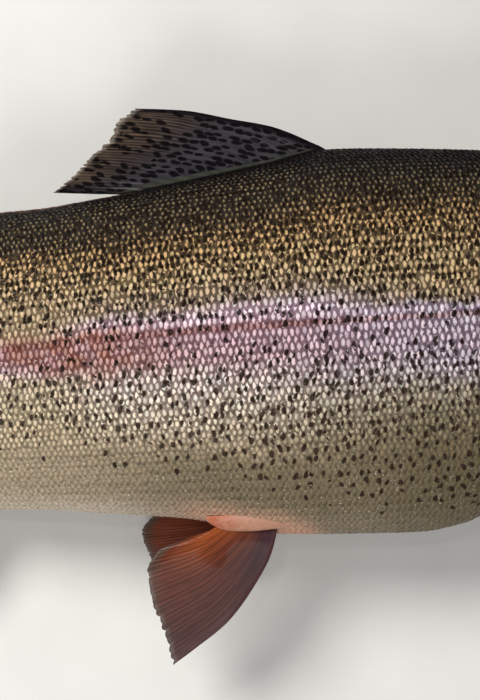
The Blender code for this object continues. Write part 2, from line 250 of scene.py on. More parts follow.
def flank_place(x, u, side):
    """What the markings read: x, arc height over the lateral line, level (1 at the back, -1 at the belly)."""
    lateral = lateral_share(x)
    over = lateral - u
    level = over / np.where(over > 0, lateral, 1 - lateral)
    return stack(x, over * half_girth(x) + np.where(side < 0, OTHER_FLANK, 0.0), level)


THROAT_REACH = 52  # how far the gill slits run forward under the throat
THROAT_WIDTH = 13
SLIT_DEPTH, SLIT_LENGTH = 2.8, 8.0  # the skin sinks this deep behind the gill covers, over this length


def from_belly(x, u):
    """Distance round the body from the belly's midline."""
    return (1 - u) * half_girth(x)


def behind_gills(x, y, u):
    """How far a point lies behind the free edge of the gill covers, whose slits meet under the throat."""
    throat = THROAT_REACH * (1 - rise(from_belly(x, u), 1.5, THROAT_WIDTH))
    return through(GILL_EDGE, y) + throat - x


def open_slit(y):
    """1 where the gill cover ends free, 0 over the nape, where it has grown on."""
    return 1 - rise(y, 55, 70)


def trunk_offset(behind, y):
    """How far the skin lies off the smooth body behind the gills: under the scales, and sunk by the slit."""
    step = SLIT_DEPTH * np.exp(-np.maximum(behind, 0) / SLIT_LENGTH) * rise(behind, 0.0, 1.3) * open_slit(y)
    return -SCALE_DEPTH * rise(behind, 0, 5) - step


# ---------------------------------------------------------------- the head's folds

EYE_X, EYE_Y = 366, 21
GAPE = ((430, -2.5), (410, -3), (385, -8), (360, -16), (338, -25))
MAXILLA = ((409, 2), (400, 5.5), (385, 2), (362, -4), (343, -11), (335, -17), (334.5, -23), (341, -27))
SUPRAMAXILLA = ((366, -5.5), (352, -6), (341, -12), (338, -19))
PREOPERCLE = ((309, 47), (310, 28), (313, 8), (319, -10), (329, -23), (345, -33), (356, -36))
OPERCLE_FOOT = ((316, -4), (304, -12), (290, -19), (273, -25))
INTEROPERCLE = ((331, -25), (318, -34), (304, -42), (296, -46))
JAW_FOOT = ((418, -11), (395, -23), (370, -32), (346, -39), (333, -43))
NOSTRILS = ((394.5, 24.5, 1.5), (390.3, 26.2, 1.3))
CHEEK_SEAMS = (
    ((355, 13), (347, 3), (343, -8)),
    ((352, 18), (336, 12), (322, 6)),
    ((353, 26), (338, 29), (322, 32)),
    ((362, 33), (352, 43), (338, 50)),
    ((378, 16), (386, 11), (396, 9)),
    ((377, 27), (386, 30), (392, 33)),
)
# The points of each seam, its depth, width and the darkness of the shade painted in it.
SEAMS = (
    (SUPRAMAXILLA, 0.45, 0.7, 0.5), (PREOPERCLE, 1.2, 1.2, 0.7), (OPERCLE_FOOT, 0.9, 0.9, 0.6),
    (INTEROPERCLE, 0.8, 0.9, 0.55), (JAW_FOOT, 0.9, 1.5, 0.4),
    *((seam, 0.4, 0.8, 0.3) for seam in CHEEK_SEAMS),
)
GULAR_SEAM = ((408, 3), (390, 9), (366, 17), (344, 24), (326, 27))
RAY_COUNT, RAY_FIRST, RAY_PITCH = 5, 14.0, 6.4  # the branchiostegal rays under the throat
RAY_LAST = RAY_FIRST + RAY_COUNT * RAY_PITCH
PORE_COUNT = 9


def from_curve(points, x, y):
    """Distance to a curve in the side view, signed by its side, and the share of the way along it."""
    knots = path(points, np.linspace(0, 1, 36))
    start, leg = knots[:-1], np.diff(knots, axis=0)
    rel = stack(x, y)[:, None] - start
    t = np.clip((rel * leg).sum(-1) / (leg**2).sum(-1), 0, 1)
    gap = rel - t[..., None] * leg
    distance = np.linalg.norm(gap, axis=-1)
    best = distance.argmin(axis=1)
    rows = np.arange(len(x))
    turn = leg[best, 0] * rel[rows, best, 1] - leg[best, 1] * rel[rows, best, 0]
    return np.sign(turn) * distance[rows, best], (best + t[rows, best]) / len(leg)


def groove(points, x, y, width):
    """1 along the curve, fading beside it and towards its ends."""
    distance, share = from_curve(points, x, y)
    ends = np.minimum(rise(share, 0, 0.08), rise(share, 1, 0.92))
    return bell(distance, 0, width) * (0.15 + 0.85 * ends)


def head_relief(x, y, ahead, girth):
    """(offset along the normal, darkness of the painted shade in its creases) of the head's points, seen from
    the side.

    ahead is the distance before the gill covers' free edge, girth the one round from the belly's midline.
    """
    # Beside the relief: the darkness of the shade painted into the seams, the gape, the jaw bone's edge, the
    # eye socket, the nostrils and the pores.
    height = np.zeros(len(x))
    crease_shade = np.zeros(len(x))
    for points, depth, width, dark in SEAMS:
        dent = groove(points, x, y, width)
        height -= depth * dent
        crease_shade = np.maximum(crease_shade, dark * dent)
    # Mouth: the lips round into the gape, and the upper jaw bone lies over its corner.
    gape, share = from_curve(GAPE, x, y)
    lip = rise(share, 1.0, 0.9)
    height += (0.9 * bell(gape, -2.6, 1.9) + 0.6 * bell(gape, 2.4, 1.8)) * lip
    height -= 2.0 * bell(gape, 0, 0.9) * lip
    crease_shade = np.maximum(crease_shade, bell(gape, 0, 1.0) * lip)
    maxilla, share = from_curve(MAXILLA, x, y)
    in_gape = rise(gape, 0.5, -0.3)
    plate = rise(maxilla, -0.2, 1.0) * rise(x, 333, 337) * rise(x, 412, 404) * in_gape
    height += 1.3 * plate
    crease_shade = np.maximum(crease_shade, 0.8 * bell(maxilla, -0.3, 0.7) * (x < 410) * in_gape)
    # Gill cover: a soft swell between its bones' seams, the thin free rim and fine striae.
    height += 0.8 * bell(ahead, 20, 14) * bell(y, 12, 32)
    height -= 0.5 * bell(ahead, 4.0, 2.0) * rise(y, 60, 45) * rise(ahead, 0, 2)
    fan = np.arctan2(y - 44, x - 312)
    uneven = 0.6 * np.sin(fan * 46) + 0.4 * np.sin(fan * 71 + 1)
    height += 0.11 * uneven * rise(ahead, 2, 14) * rise(x, 312, 300) * rise(np.abs(y - 12), 40, 20)
    # Throat: the seam inside the jaw bones, and the branchiostegal rays that fan back from it.
    seam, share = from_curve(GULAR_SEAM, x, girth)
    below = rise(y, -8, -22)
    dent = bell(seam, 0, 1.4) * rise(share, 0, 0.1) * rise(share, 1, 0.9) * below
    height -= 0.9 * dent
    crease_shade = np.maximum(crease_shade, 0.35 * dent)
    spread = (girth - 6.0 * rise(x, 352, 312)) / RAY_PITCH * (1 + 0.25 * rise(x, 310, 350))
    ridge = np.abs(np.sin(math.pi * spread)) ** 0.7
    fan = rise(x, 352, 340) * rise(ahead, 0.5, 5) * rise(girth, RAY_FIRST - 5, RAY_FIRST)
    fan = fan * rise(girth, RAY_LAST + 4, RAY_LAST) * below
    height -= 1.1 * (1 - ridge) * fan
    crease_shade = np.maximum(crease_shade, 0.5 * (1 - ridge) * fan)
    # Eye: a socket with a raised fleshy rim.
    around = np.hypot(x - EYE_X, y - EYE_Y)
    height += 1.1 * bell(around, 12.6, 1.9) - 0.5 * bell(around, 16.5, 1.5)
    height -= 3.6 * rise(around, 11.2, 9.2)
    crease_shade = np.maximum(crease_shade, rise(around, 11.6, 10.4))
    for nx, ny, radius in NOSTRILS:
        hole = np.hypot(x - nx, y - ny)
        height += 0.6 * bell(hole, radius + 0.9, 0.7) - 2.0 * rise(hole, radius, radius * 0.3)
        crease_shade = np.maximum(crease_shade, rise(hole, radius * 1.25, radius * 0.6))
    # Pores of the sense canals under the jaw and round the cheek.
    for k in range(PORE_COUNT):
        pore = bell(np.hypot(x - (408 - 9 * k), y + 15.5 + 2.5 * k), 0, 0.7)
        height -= 0.5 * pore
        crease_shade = np.maximum(crease_shade, 0.6 * pore)
    return height, crease_shade


# ---------------------------------------------------------------- meshes


def place_object(name, data):
    placed = bpy.data.objects.new(name, data)
    bpy.context.scene.collection.objects.link(placed)
    return placed


def new_mesh(name, points, face_groups, material, nodes, slot, attributes, bake_uv=None):
    """A piece from points in millimetres and arrays of faces, each array with one corner count.

    attributes holds vectors of the points by name, and bake_uv each point's place in OFBake.
    """
    mesh = bpy.data.meshes.new(name)
    points = np.asarray(points, float).reshape(-1, 3) * MM
    mesh.vertices.add(len(points))
    mesh.vertices.foreach_set("co", points.astype(np.float32).ravel())
    corners = np.concatenate([np.asarray(g).ravel() for g in face_groups]).astype(np.int32)
    sizes = np.concatenate([np.full(len(g), np.asarray(g).shape[1]) for g in face_groups])
    mesh.loops.add(len(corners))
    mesh.loops.foreach_set("vertex_index", corners)
    mesh.polygons.add(len(sizes))
    starts = np.concatenate([[0], np.cumsum(sizes)[:-1]]).astype(np.int32)
    mesh.polygons.foreach_set("loop_start", starts)
    mesh.update(calc_edges=True)
    mesh.polygons.foreach_set("use_smooth", np.ones(len(sizes), bool))
    for label, values in attributes.items():
        made = mesh.attributes.new(label, "FLOAT_VECTOR", "POINT")
        made.data.foreach_set("vector", np.asarray(values, np.float32).ravel())
    if bake_uv is not None:
        layer = mesh.uv_layers.new(name="OFBake")
        layer.uv.foreach_set("vector", np.asarray(bake_uv, np.float32)[corners].ravel())
    mesh.materials.append(material)
    piece = place_object(name, mesh)
    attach(piece, "root")
    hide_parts(*nodes)


def grid_faces(rows, columns, wrap=False):
    """Faces between the rows of a grid of points, the columns closed into a ring if wrap is set."""
    i = np.arange(rows - 1)[:, None]
    j = np.arange(columns if wrap else columns - 1)[None]
    k = (j + 1) % columns
    a, b = i * columns + j, i * columns + k
    return stack(a, b, b + columns, a + columns).reshape(-1, 4)


def tube_faces(rings, around):
    """Faces of a closed tube of rings of points: its wall and the caps at both ends."""
    ring = np.arange(around)[None]
    return grid_faces(rings, around, wrap=True), ring[:, ::-1], (rings - 1) * around + ring


# ---------------------------------------------------------------- materials


def srgb(red, green, blue):
    """A colour given as 0 to 255 in sRGB, as Blender's linear RGBA."""
    c = np.array([red, green, blue]) / 255
    linear = np.where(c <= 0.04045, c / 12.92, ((c + 0.055) / 1.055) ** 2.4)
    return (*(float(v) for v in linear), 1.0)


class Value:
    """What a node gives, a number or a colour. Arithmetic on it adds nodes, also with plain numbers."""

    def __init__(self, graph, socket):
        self.graph, self.socket = graph, socket

    def math(self, operation, *others):
        return self.graph.math(operation, self, *others)

    def __add__(self, other):
        return self.math("ADD", other)

    def __sub__(self, other):
        return self.math("SUBTRACT", other)

    def __rsub__(self, other):
        return self.graph.math("SUBTRACT", other, self)

    def __mul__(self, other):
        return self.math("MULTIPLY", other)

    def __truediv__(self, other):
        return self.math("DIVIDE", other)

    def __lt__(self, other):
        return self.math("LESS_THAN", other)

    def most(self, other):
        """The larger of the two."""
        return self.math("MAXIMUM", other)

    def fold(self, length):
        """Runs up and down between 0 and this length."""
        return self.math("PINGPONG", length)

    def span(self, low, high, to_low=0.0, to_high=1.0, kind="SMOOTHSTEP"):
        """to_low up to low, to_high from high on, smooth between. low may be the larger one."""
        if low > high:
            low, high, to_low, to_high = high, low, to_high, to_low
        ends = {"Value": self, "From Min": low, "From Max": high, "To Min": to_low, "To Max": to_high}
        return self.graph.add("ShaderNodeMapRange", ends, interpolation_type=kind)[0]

    def line(self, *ends):
        """span with a straight run between its ends."""
        return self.span(*ends, kind="LINEAR")

    def band(self, low, low_full, high_full, high):
        """0 outside low..high, 1 between low_full and high_full."""
        return self.span(low, low_full) * self.span(high, high_full)

    def blend(self, other, share):
        """This number drawn towards another."""
        return self.graph.add("ShaderNodeMix", {0: share, 2: self, 3: other})[0]

    def toward(self, colour, share, kind="MIX"):
        """This colour drawn towards another, or multiplied by it."""
        return self.graph.mix(share, self, colour, kind)

    def ramp(self, stops, low=-1.0, high=1.0):
        """The colours of the stops (place, colour), which rise from low to high."""
        node = self.graph.tree.nodes.new("ShaderNodeValToRGB")
        self.graph.tree.links.new(self.line(low, high).socket, node.inputs[0])
        elements = node.color_ramp.elements
        while len(elements) < len(stops):
            elements.new(0.5)
        for element, (at, colour) in zip(elements, stops):
            element.position = (at - low) / (high - low)
            element.color = srgb(*colour)
        return Value(self.graph, node.outputs[0])


WET_SOCKETS = ("Coat Weight", "Coat Roughness", "Specular IOR Level")


class Graph:
    """A short way to write a material's nodes. Inputs are values, numbers or colours of 0 to 255."""

    def __init__(self, name):
        self.material = bpy.data.materials.new(name)
        self.material.use_nodes = True
        self.tree = self.material.node_tree
        self.tree.nodes.clear()

    def add(self, kind, inputs, **settings):
        """A new node's outputs."""
        node = self.tree.nodes.new(kind)
        for key, setting in settings.items():
            setattr(node, key, setting)
        for key, given in inputs.items():
            if isinstance(given, Value):
                self.tree.links.new(given.socket, node.inputs[key])
            else:
                node.inputs[key].default_value = srgb(*given) if isinstance(given, tuple) else given
        return [Value(self, socket) for socket in node.outputs]

    def math(self, operation, *values):
        return self.add("ShaderNodeMath", dict(enumerate(values)), operation=operation)[0]

    def mix(self, share, a, b, kind="MIX"):
        return self.add("ShaderNodeMix", {0: share, 6: a, 7: b}, data_type="RGBA", blend_type=kind)[2]

    def vector(self, x, y, z=0.0):
        return self.add("ShaderNodeCombineXYZ", {0: x, 1: y, 2: z})[0]

    def attribute(self, label):
        """The three numbers of a point attribute."""
        vector = self.add("ShaderNodeAttribute", {}, attribute_name=label)[1]
        return self.add("ShaderNodeSeparateXYZ", {0: vector})

    def noise(self, place, scale, detail=2.0, roughness=0.5):
        inputs = {"Vector": place, "Scale": scale, "Detail": detail, "Roughness": roughness}
        return self.add("ShaderNodeTexNoise", inputs)[0]

    def surface(self, base, rough, wet, bump=None):
        """The Principled surface. wet goes to WET_SOCKETS; bump is (height, distance in mm, strength)."""
        inputs = {"Base Color": base, "Roughness": rough, **dict(zip(WET_SOCKETS, wet))}
        if bump is not None:
            height, distance, strength = bump
            relief = {"Height": height, "Distance": distance * MM, "Strength": strength}
            inputs["Normal"] = self.add("ShaderNodeBump", relief)[0]
        shader = self.add("ShaderNodeBsdfPrincipled", inputs)[0]
        self.add("ShaderNodeOutputMaterial", {0: shader})
        return self.material


# Colours of the flank by level, from the belly (-1) over the lateral line (0) to the back (1): the bright
# middles of the scales, silvery and with a painted glint, and the dark net between them.
BRIGHT = (
    (-1.0, (220, 206, 196)), (-0.8, (202, 186, 168)), (-0.66, (166, 152, 129)), (-0.5, (170, 154, 128)),
    (-0.43, (200, 184, 161)), (-0.36, (238, 225, 206)), (-0.26, (248, 238, 226)), (-0.18, (246, 233, 232)),
    (-0.1, (222, 192, 200)), (0.0, (230, 200, 216)), (0.06, (255, 240, 254)), (0.13, (200, 180, 163)),
    (0.25, (220, 193, 152)), (0.36, (218, 181, 134)), (0.43, (202, 165, 118)), (0.5, (164, 138, 104)),
    (0.58, (138, 122, 90)), (0.69, (106, 96, 77)), (0.78, (52, 46, 43)), (1.0, (15, 15, 18)),
)
NET = (
    (-1.0, (178, 164, 154)), (-0.8, (154, 140, 124)), (-0.66, (130, 118, 97)), (-0.5, (128, 115, 94)),
    (-0.36, (118, 103, 88)), (-0.2, (117, 101, 97)), (-0.1, (109, 81, 87)), (0.0, (118, 87, 98)),
    (0.06, (150, 122, 136)), (0.12, (95, 80, 69)), (0.27, (98, 82, 60)), (0.4, (74, 60, 44)),
    (0.49, (50, 41, 33)), (0.58, (36, 30, 27)), (0.7, (23, 21, 21)), (0.8, (13, 12, 16)), (1.0, (8, 8, 12)),
)
BLACK = (26, 16, 10)


def spot_layer(g, x, q, cell, size, presence):
    """Dark ovals on a slanting, jittered lattice: cell is its pitch and size their half axes, in mm."""
    row = q / cell[1]
    column = row * 0.5 + x / cell[0]
    inputs = {"Vector": g.vector(column, row), "Scale": 1.0, "Randomness": 0.62}
    _, colour, middle = g.add("ShaderNodeTexVoronoi", inputs, voronoi_dimensions="2D")[:3]
    by_size, by_presence, by_lean = g.add("ShaderNodeSeparateColor", {0: colour})
    middle_x, middle_y, _ = g.add("ShaderNodeSeparateXYZ", {0: middle})
    down = row - middle_y
    along = column - middle_x - down * 0.5 + down * (by_lean - 0.5) * (0.8 * cell[1] / cell[0])
    wide, tall = along * (cell[0] / size[0]), down * (cell[1] / size[1])
    reach = (wide * wide + tall * tall) / by_size.line(0, 1, 0.6, 1.4)
    return reach.span(1.5, 0.55) * (by_presence < presence)


def flank_markings(g):
    """The markings shared by skin and scales: bright and net colours, the dark spots, and the level."""
    x, q, level = g.attribute("flank")
    place = g.vector(x, q)
    wide, fine = g.noise(place, 0.022), g.noise(place, 0.16, 3)
    level = level + (fine - 0.5) * 0.07 + (wide - 0.5) * 0.1
    level += x.span(30, 140, 0, 0.12) * level.band(-0.02, 0.08, 0.3, 0.6)
    level -= x.span(20, 130, 0, 0.12).most(x.span(-70, -140, 0, 0.07)) * level.band(0.25, 0.4, 0.48, 0.57)
    level -= x.band(-190, -130, 10, 50) * level.band(0.58, 0.7, 0.86, 0.96) * 0.09
    bright, net = level.ramp(BRIGHT), level.ramp(NET)

    def tint(share, on_bright, on_net):
        nonlocal bright, net
        bright = bright.toward(on_bright, share)
        net = net.toward(on_net, share)

    # Painted light and shade: the belly and lower flank are shaded darker and greener towards the head,
    # and lit paler towards the tail.
    shade_below = x.span(-130, -20, 0, 0.75) * level.span(-0.4, -0.56)
    ahead = level.span(-0.1, -0.35) * x.span(-35, 115).most(shade_below)
    bright = bright.toward((158, 153, 132), ahead * 0.92, "MULTIPLY")
    net = net.toward((78, 71, 56), ahead * 0.7)
    tint(level.span(-0.3, -0.6) * x.span(0, -130) * 0.5, (202, 184, 161), (142, 128, 109))
    tint(level.span(-0.68, -0.9) * x.span(0, -110) * 0.6, (248, 235, 222), (204, 188, 172))
    # Towards the tail the rose band narrows between sandy scales, and reddens in a long patch.
    tint(x.span(-70, -120) * level.band(-0.02, 0.05, 0.2, 0.3) * 0.9, (208, 186, 152), (122, 102, 78))
    tint(x.span(-60, -115) * level.band(-0.5, -0.4, -0.18, -0.1) * 0.85, (216, 199, 170), (120, 106, 85))
    tapered = level - x.span(-70, -150, 0, 0.1)
    patch = tapered.span(-0.22, -0.1) * level.span(0.1, 0.02) * x.band(-330, -150, -85, -15)
    patch *= g.noise(place, 0.09, 3, 0.6).span(0.3, 0.62, 0.35, 1)
    tint(patch * 0.88, (180, 130, 114), (110, 62, 48))
    tint(x.span(-200, -350, 0, 0.75) * level.band(-0.5, -0.2, 0.2, 0.4), (178, 158, 132), (84, 68, 54))
    # The belly is flesh-coloured round the pelvic fins.
    flesh = (x + (wide - 0.5) * 50).band(-58, -20, 14, 52) * level.span(-0.64, -0.86)
    tint(flesh * fine.span(0.2, 0.55, 0.55, 1) * 0.95, (214, 170, 146), (200, 152, 127))
    # A painted lilac sheen lies over the band before the middle, and the band is rosy behind the gill cover.
    lilac_sheen = x.band(-20, 120, 150, 235) * level.band(-0.26, -0.14, 0.08, 0.18)
    tint(lilac_sheen * 0.65, (228, 222, 240), (110, 98, 116))
    rosy = x.span(150, 235) * level.band(-0.32, -0.12, 0.08, 0.24)
    tint(rosy * 0.75, (232, 180, 184), (142, 88, 90))
    # The last scales take the tail fin's olive.
    tint(x.span(-352, -376, 0, 0.8), (118, 104, 76), (72, 62, 44))
    # The lateral line.
    above = q.fold(OTHER_FLANK / 2)
    wavy = above + (g.noise(place, 0.11) - 0.5) * 3
    line = (1 - wavy.span(0.2, 2.4)) * g.noise(place, 0.3).span(0.3, 0.6, 0.45, 1)
    blush = x.band(-90, -30, 25, 75) * above.span(4, 1) * fine.span(0.3, 0.6, 0.2, 0.55)
    tint(blush, (190, 146, 146), (112, 70, 68))
    bright = bright.toward((150, 98, 88), line * 0.6)
    net = net.toward((90, 48, 42), line * 0.8)
    # A brown strip along the back behind the dorsal fin.
    tint(level.span(0.8, 0.9) * x.band(-260, -170, -80, -50) * 0.85, (148, 104, 86), (116, 80, 66))
    # Spots: crowded over the upper flank, sparser and larger below the line.
    crowded = level.line(0.06, 0.3, 0.12, 0.96) * level.span(0.45, 0.62, 1, 0.55) * level.span(-0.2, 0)
    below = level.line(-0.04, -0.16, 0.15, 0.95) * (x * 0.0012 + level).span(-0.69, -0.42)
    layers = (  # the layer's shift, its pitch, half axes and presence
        (0, (3.8, 5.3), (1.15, 2.15), crowded),
        (61, (6.4, 7.0), (1.3, 1.9), level.band(-0.12, 0.02, 0.08, 0.2) * x.span(-60, 60, 0.4, 0.22)),
        (27, (6.4, 7.4), (1.25, 1.95), below),
        (83, (4.6, 5.8), (0.9, 1.75), level.band(-0.48, -0.34, -0.16, -0.06) * x.span(-70, 60, 0.08, 0.42)),
    )
    warp = g.noise(place, 0.45, 1) - 0.5
    across, down = x + warp * 2, q + warp * 2.4
    layers = [spot_layer(g, across + shift, down, *rest) for shift, *rest in layers]
    spots = layers[0].most(layers[1]).most(layers[2].most(layers[3]))
    black = g.mix(level.span(0, -0.35), BLACK, (44, 31, 24))
    return SimpleNamespace(
        x=x, q=q, place=place, level=level, bright=bright, net=net, spots=spots, black=black, fine=fine,
    )


def scale_material():
    """A scale: bright in the middle with a painted glint, dark along its buried sides with painted shade,
    wet.
    """
    g = Graph("scales")
    m = flank_markings(g)
    along, across, chance = g.attribute("cell")
    second, third = (chance * 17.3).math("FRACT"), (chance * 61.7).math("FRACT")
    grit = g.noise(m.place, 0.75, 2, 0.6)
    narrow = m.level.span(0.35, 0.6, 1, 1.38) - m.level.band(-0.4, -0.15, 0.25, 0.45) * 0.06
    wide = ((along + (grit - 0.5) + (second - 0.5) * 0.35) * 1.9 - 0.2) * narrow
    tall = (across + (third - 0.5) * 0.4) * 2.2 * narrow
    # The middle's brightness: silvery scale and a painted glint.
    silver_and_glint = (wide * wide + tall * tall).span(1.6, 0.3) * chance.line(0, 1, 0.55, 1.18)
    silver_and_glint *= grit.span(0.25, 0.6, 0.7, 1.1)
    tints = ((0.0, (255, 246, 238)), (0.4, (255, 252, 247)), (0.7, (247, 248, 240)), (1.0, (238, 243, 238)))
    bright = m.bright.toward(second.ramp(tints, 0, 1), 1.0, "MULTIPLY")
    # Painted shade along the scale's outline, between it and its neighbours; less of it over the belly.
    edge = (along * along + across * across).span(0.45, 1, 1, 0.72)
    edge = edge.blend(1.0, m.level.span(-0.35, -0.65, 0, 0.7))
    silver_and_glint = silver_and_glint.blend(grit.span(0.35, 0.65, 0.05, 0.75), m.level.span(-0.42, -0.6) * 0.6)
    haze = m.fine.span(0.35, 0.7) * m.level.span(0.1, -0.5, 0.04, 0.3)
    base = m.net.toward(edge, 1.0, "MULTIPLY").toward(bright, silver_and_glint.most(haze))
    # Painted glints: small bright specks on the scales of the lower flank.
    glint = grit.span(0.6, 0.72) * m.level.span(-0.3, -0.6, 0, 0.55) * third.span(0.3, 0.7)
    base = base.toward((250, 238, 222), glint).toward(m.black, m.spots * 0.95)
    strands = g.noise(g.vector(m.x * 0.6, m.q * 3), 1.0)
    rough = strands.line(0.3, 0.7, 0.22, 0.42).blend(0.4, m.spots)
    return g.surface(base, rough, (0.13, 0.05, 0.0), (strands, 0.12, 0.35))


HEAD_TONES = (
    (-1.0, (188, 176, 156)), (-0.75, (164, 150, 128)), (-0.5, (136, 122, 100)), (-0.34, (144, 116, 100)),
    (-0.14, (168, 106, 102)), (0.04, (160, 88, 94)), (0.16, (128, 82, 72)), (0.3, (80, 66, 42)),
    (0.5, (40, 37, 26)), (0.7, (22, 21, 18)), (1.0, (12, 12, 13)),
)


def skin_material():
    """Bare wet skin: the net between the scales on the trunk, smooth and marbled on the head."""
    g = Graph("skin")
    m = flank_markings(g)
    head, crease_shade, _ = g.attribute("fold")
    tone = ((g.noise(m.place, 0.05, 3, 0.55) - 0.5) * 0.35 + m.level).ramp(HEAD_TONES)
    cloud, grain = g.noise(m.place, 0.09, 4, 0.6), g.noise(m.place, 0.8, 3, 0.6)
    low = m.level.span(0.35, 0.05)
    tone = tone.toward((202, 190, 176), cloud.span(0.45, 0.62, 0, 0.45) * low)
    tone = tone.toward((122, 96, 52), g.noise(m.place, 0.16, 4, 0.65).span(0.5, 0.68, 0, 0.4) * low)
    tone = tone.toward((92, 82, 52), cloud.span(0.5, 0.32, 0, 0.4))
    tone = tone.toward((214, 198, 178), grain.span(0.35, 0.7, 0, 0.2) * low)
    tone = tone.toward((60, 50, 34), g.noise(m.place, 2.6).span(0.52, 0.7, 0, 0.35))
    across = (grain - 0.5) * 2.4 + m.x
    presence = m.level.line(-0.3, 0.45, 0.10, 0.85)
    spots = spot_layer(g, across + 13, m.q, (7.4, 7.8), (1.8, 2.0), presence)
    crowded = m.level.line(0.2, 0.5, 0, 0.8)
    small = spot_layer(g, across + 41, m.q, (4.6, 4.8), (1.15, 1.3), crowded)
    tone = tone.toward(BLACK, spots.most(small) * m.x.span(412, 392) * 0.88)
    trunk = m.net.toward(m.bright, 0.25).toward(m.black, m.spots * 0.9)
    trunk = trunk.toward((80, 70, 50), m.x.span(-368, -375))
    # Painted shade darkens the head's creases and the gill slit.
    base = trunk.toward(tone, head).toward((38, 26, 22), crease_shade * 0.8)
    return g.surface(base, grain.line(0.3, 0.7, 0.26, 0.42), (0.15, 0.07, 0.0), (grain, 0.25, 0.5))


# ---------------------------------------------------------------- skin and scales

TRUNK = ("trunk_front", "trunk_middle", "trunk_rear", "tail_stalk")
HEAD = ("head", "lower_jaw", "maxilla_right", "maxilla_left", "gill_cover_right", "gill_cover_left")
AROUND = 288
COLLAR, RIM = 240, 300  # stations between which the grid bends to follow the gill covers' free edge
BARE_FROM = 262  # the head's relief lies ahead of this
INSET, LEAST_HEIGHT = 0.05, 0.02  # kept between the skin and the CAD's snout, and over the floor


def skin_stations():
    trunk = np.linspace(TAIL_X, COLLAR, 92)
    collar = np.linspace(COLLAR, RIM, 31)[1:]
    head = np.linspace(RIM, NOSE_BEGIN, 178)[1:]
    nose = SNOUT_X - NOSE_RADIUS * (1 - np.sin(np.linspace(0.05, 1.0, 24) * (math.pi / 2 - 0.02)))
    return np.concatenate([trunk, collar, head, nose])


def rim_at(u):
    """x of the gill covers' free edge at these shares of the way from back to belly."""
    x = np.full(len(u), float(RIM))
    for _ in range(60):
        x += 0.3 * behind_gills(x, surface(x, u, 1.0)[:, 1], u)
    return x


def follow_rim(stations, u):
    """x for every station and share, so that the station RIM runs along the gill covers' free edge."""
    rim = rim_at(u)[None]
    s = stations[:, None]
    collar = COLLAR + (s - COLLAR) * (rim - COLLAR) / (RIM - COLLAR)
    head = rim + (s - RIM) * (SNOUT_X - rim) / (SNOUT_X - RIM)
    return np.where(s <= COLLAR, s + 0 * rim, np.where(s <= RIM, collar, head))


def bake_place(x, u, side):
    """The place on the skin's own unwrap: along the fish, and round it from the belly over the back."""
    across = (x - TAIL_X) / (SNOUT_X - TAIL_X)
    return stack(0.01 + 0.98 * across, 0.5 + 0.49 * side * (1 - u))


def off_midline(u):
    """These shares of the way from back to belly, kept off the two midlines."""
    return np.clip(u, 0.004, 0.996)


def build_skin():
    xs = skin_stations()
    half = AROUND // 2
    shares = np.concatenate([np.linspace(0, 1, half + 1), np.linspace(1, 0, half + 1)[1:-1]])
    sides = np.concatenate([np.ones(half + 1), -np.ones(half - 1)])
    x, u, side = follow_rim(xs, shares).ravel(), np.tile(shares, len(xs)), np.tile(sides, len(xs))
    points = surface(x, u, side)
    y = points[:, 1]
    behind = behind_gills(x, y, u)
    offset = trunk_offset(behind, y)
    crease_shade = np.zeros(len(x))
    bare = rise(behind, 3, -1)
    front = x > BARE_FROM
    relief, dark = head_relief(x[front], y[front], -behind[front], from_belly(x, u)[front])
    offset[front] += relief * bare[front] * rise(x[front], SNOUT_X, SNOUT_X - 9)
    crease_shade[front] = dark * bare[front]
    # Painted shade in the slit under the gill covers' free edge.
    crease_shade = np.maximum(crease_shade, 0.8 * open_slit(y) * bell(behind, 0.8, 1.3))
    inner = off_midline(u)
    points = points + surface_normal(x, inner, side) * offset[:, None]
    points[:, 0] = np.minimum(points[:, 0], CAD_BOX[1][0] / MM - INSET)
    points[:, 2] = np.maximum(points[:, 2], LEAST_HEIGHT)
    faces = [f[:, ::-1] for f in tube_faces(len(xs), AROUND)]
    new_mesh(
        "skin", points, faces, skin_material(), (*HEAD, *TRUNK), "body_skin",
        {"flank": flank_place(x, u, side), "fold": stack(bare, crease_shade, u)},
        bake_place(x, np.where((u == 0) | (u == 1), inner, u), side),
    )


SCALE_STEP, ROW_STEP = 3.5, 4.3  # at the lateral line, and narrower in the bands above and below it
SCALE_SIZE = (
    (-378, 0.58), (-330, 0.64), (-250, 0.8), (-120, 0.96), (-20, 1.0), (200, 1.0), (262, 0.92), (310, 0.78),
    (360, 0.7),
)
# Bands of rows from the belly to the back: last row, share of the step along, share of the row step.
SCALE_BANDS = ((-13, 1.0, 0.80), (-7, 1.0, 0.88), (5, 1.0, 1.0), (12, 0.98, 0.93), (90, 0.95, 0.87))
LOWEST_ROW, HIGHEST_ROW = -56, 52
FIRST_COLUMN, LAST_COLUMN = 340.0, -371
COVER_GAP = 2.8  # from the gill covers' edge to the first scales
THROAT_SCALES = 14  # how far the scales run on ahead under the throat
SCALE_REACH, MIDLINE_GAP = 3.0, 0.9
SCALE_PARTS = 6


def scale_size(x):
    return through(SCALE_SIZE, x)


def make_rows():
    """For every row: its arc height over the lateral line, and its steps along and across."""
    rows = np.arange(LOWEST_ROW, HIGHEST_ROW + 1)
    last, along, across = np.array(SCALE_BANDS).T
    band = np.searchsorted(last, rows)
    between = (across[band][1:] + across[band][:-1]) / 2 * ROW_STEP
    height = np.concatenate([[0], np.cumsum(between)])
    return height - height[-LOWEST_ROW], along[band] * SCALE_STEP, across[band] * ROW_STEP


ROW_HEIGHT, ROW_ALONG, ROW_ACROSS = make_rows()


def row_share(x, row):
    """The share of the way from back to belly of these rows of scales."""
    return lateral_share(x) - ROW_HEIGHT[row] * scale_size(x) / half_girth(x)


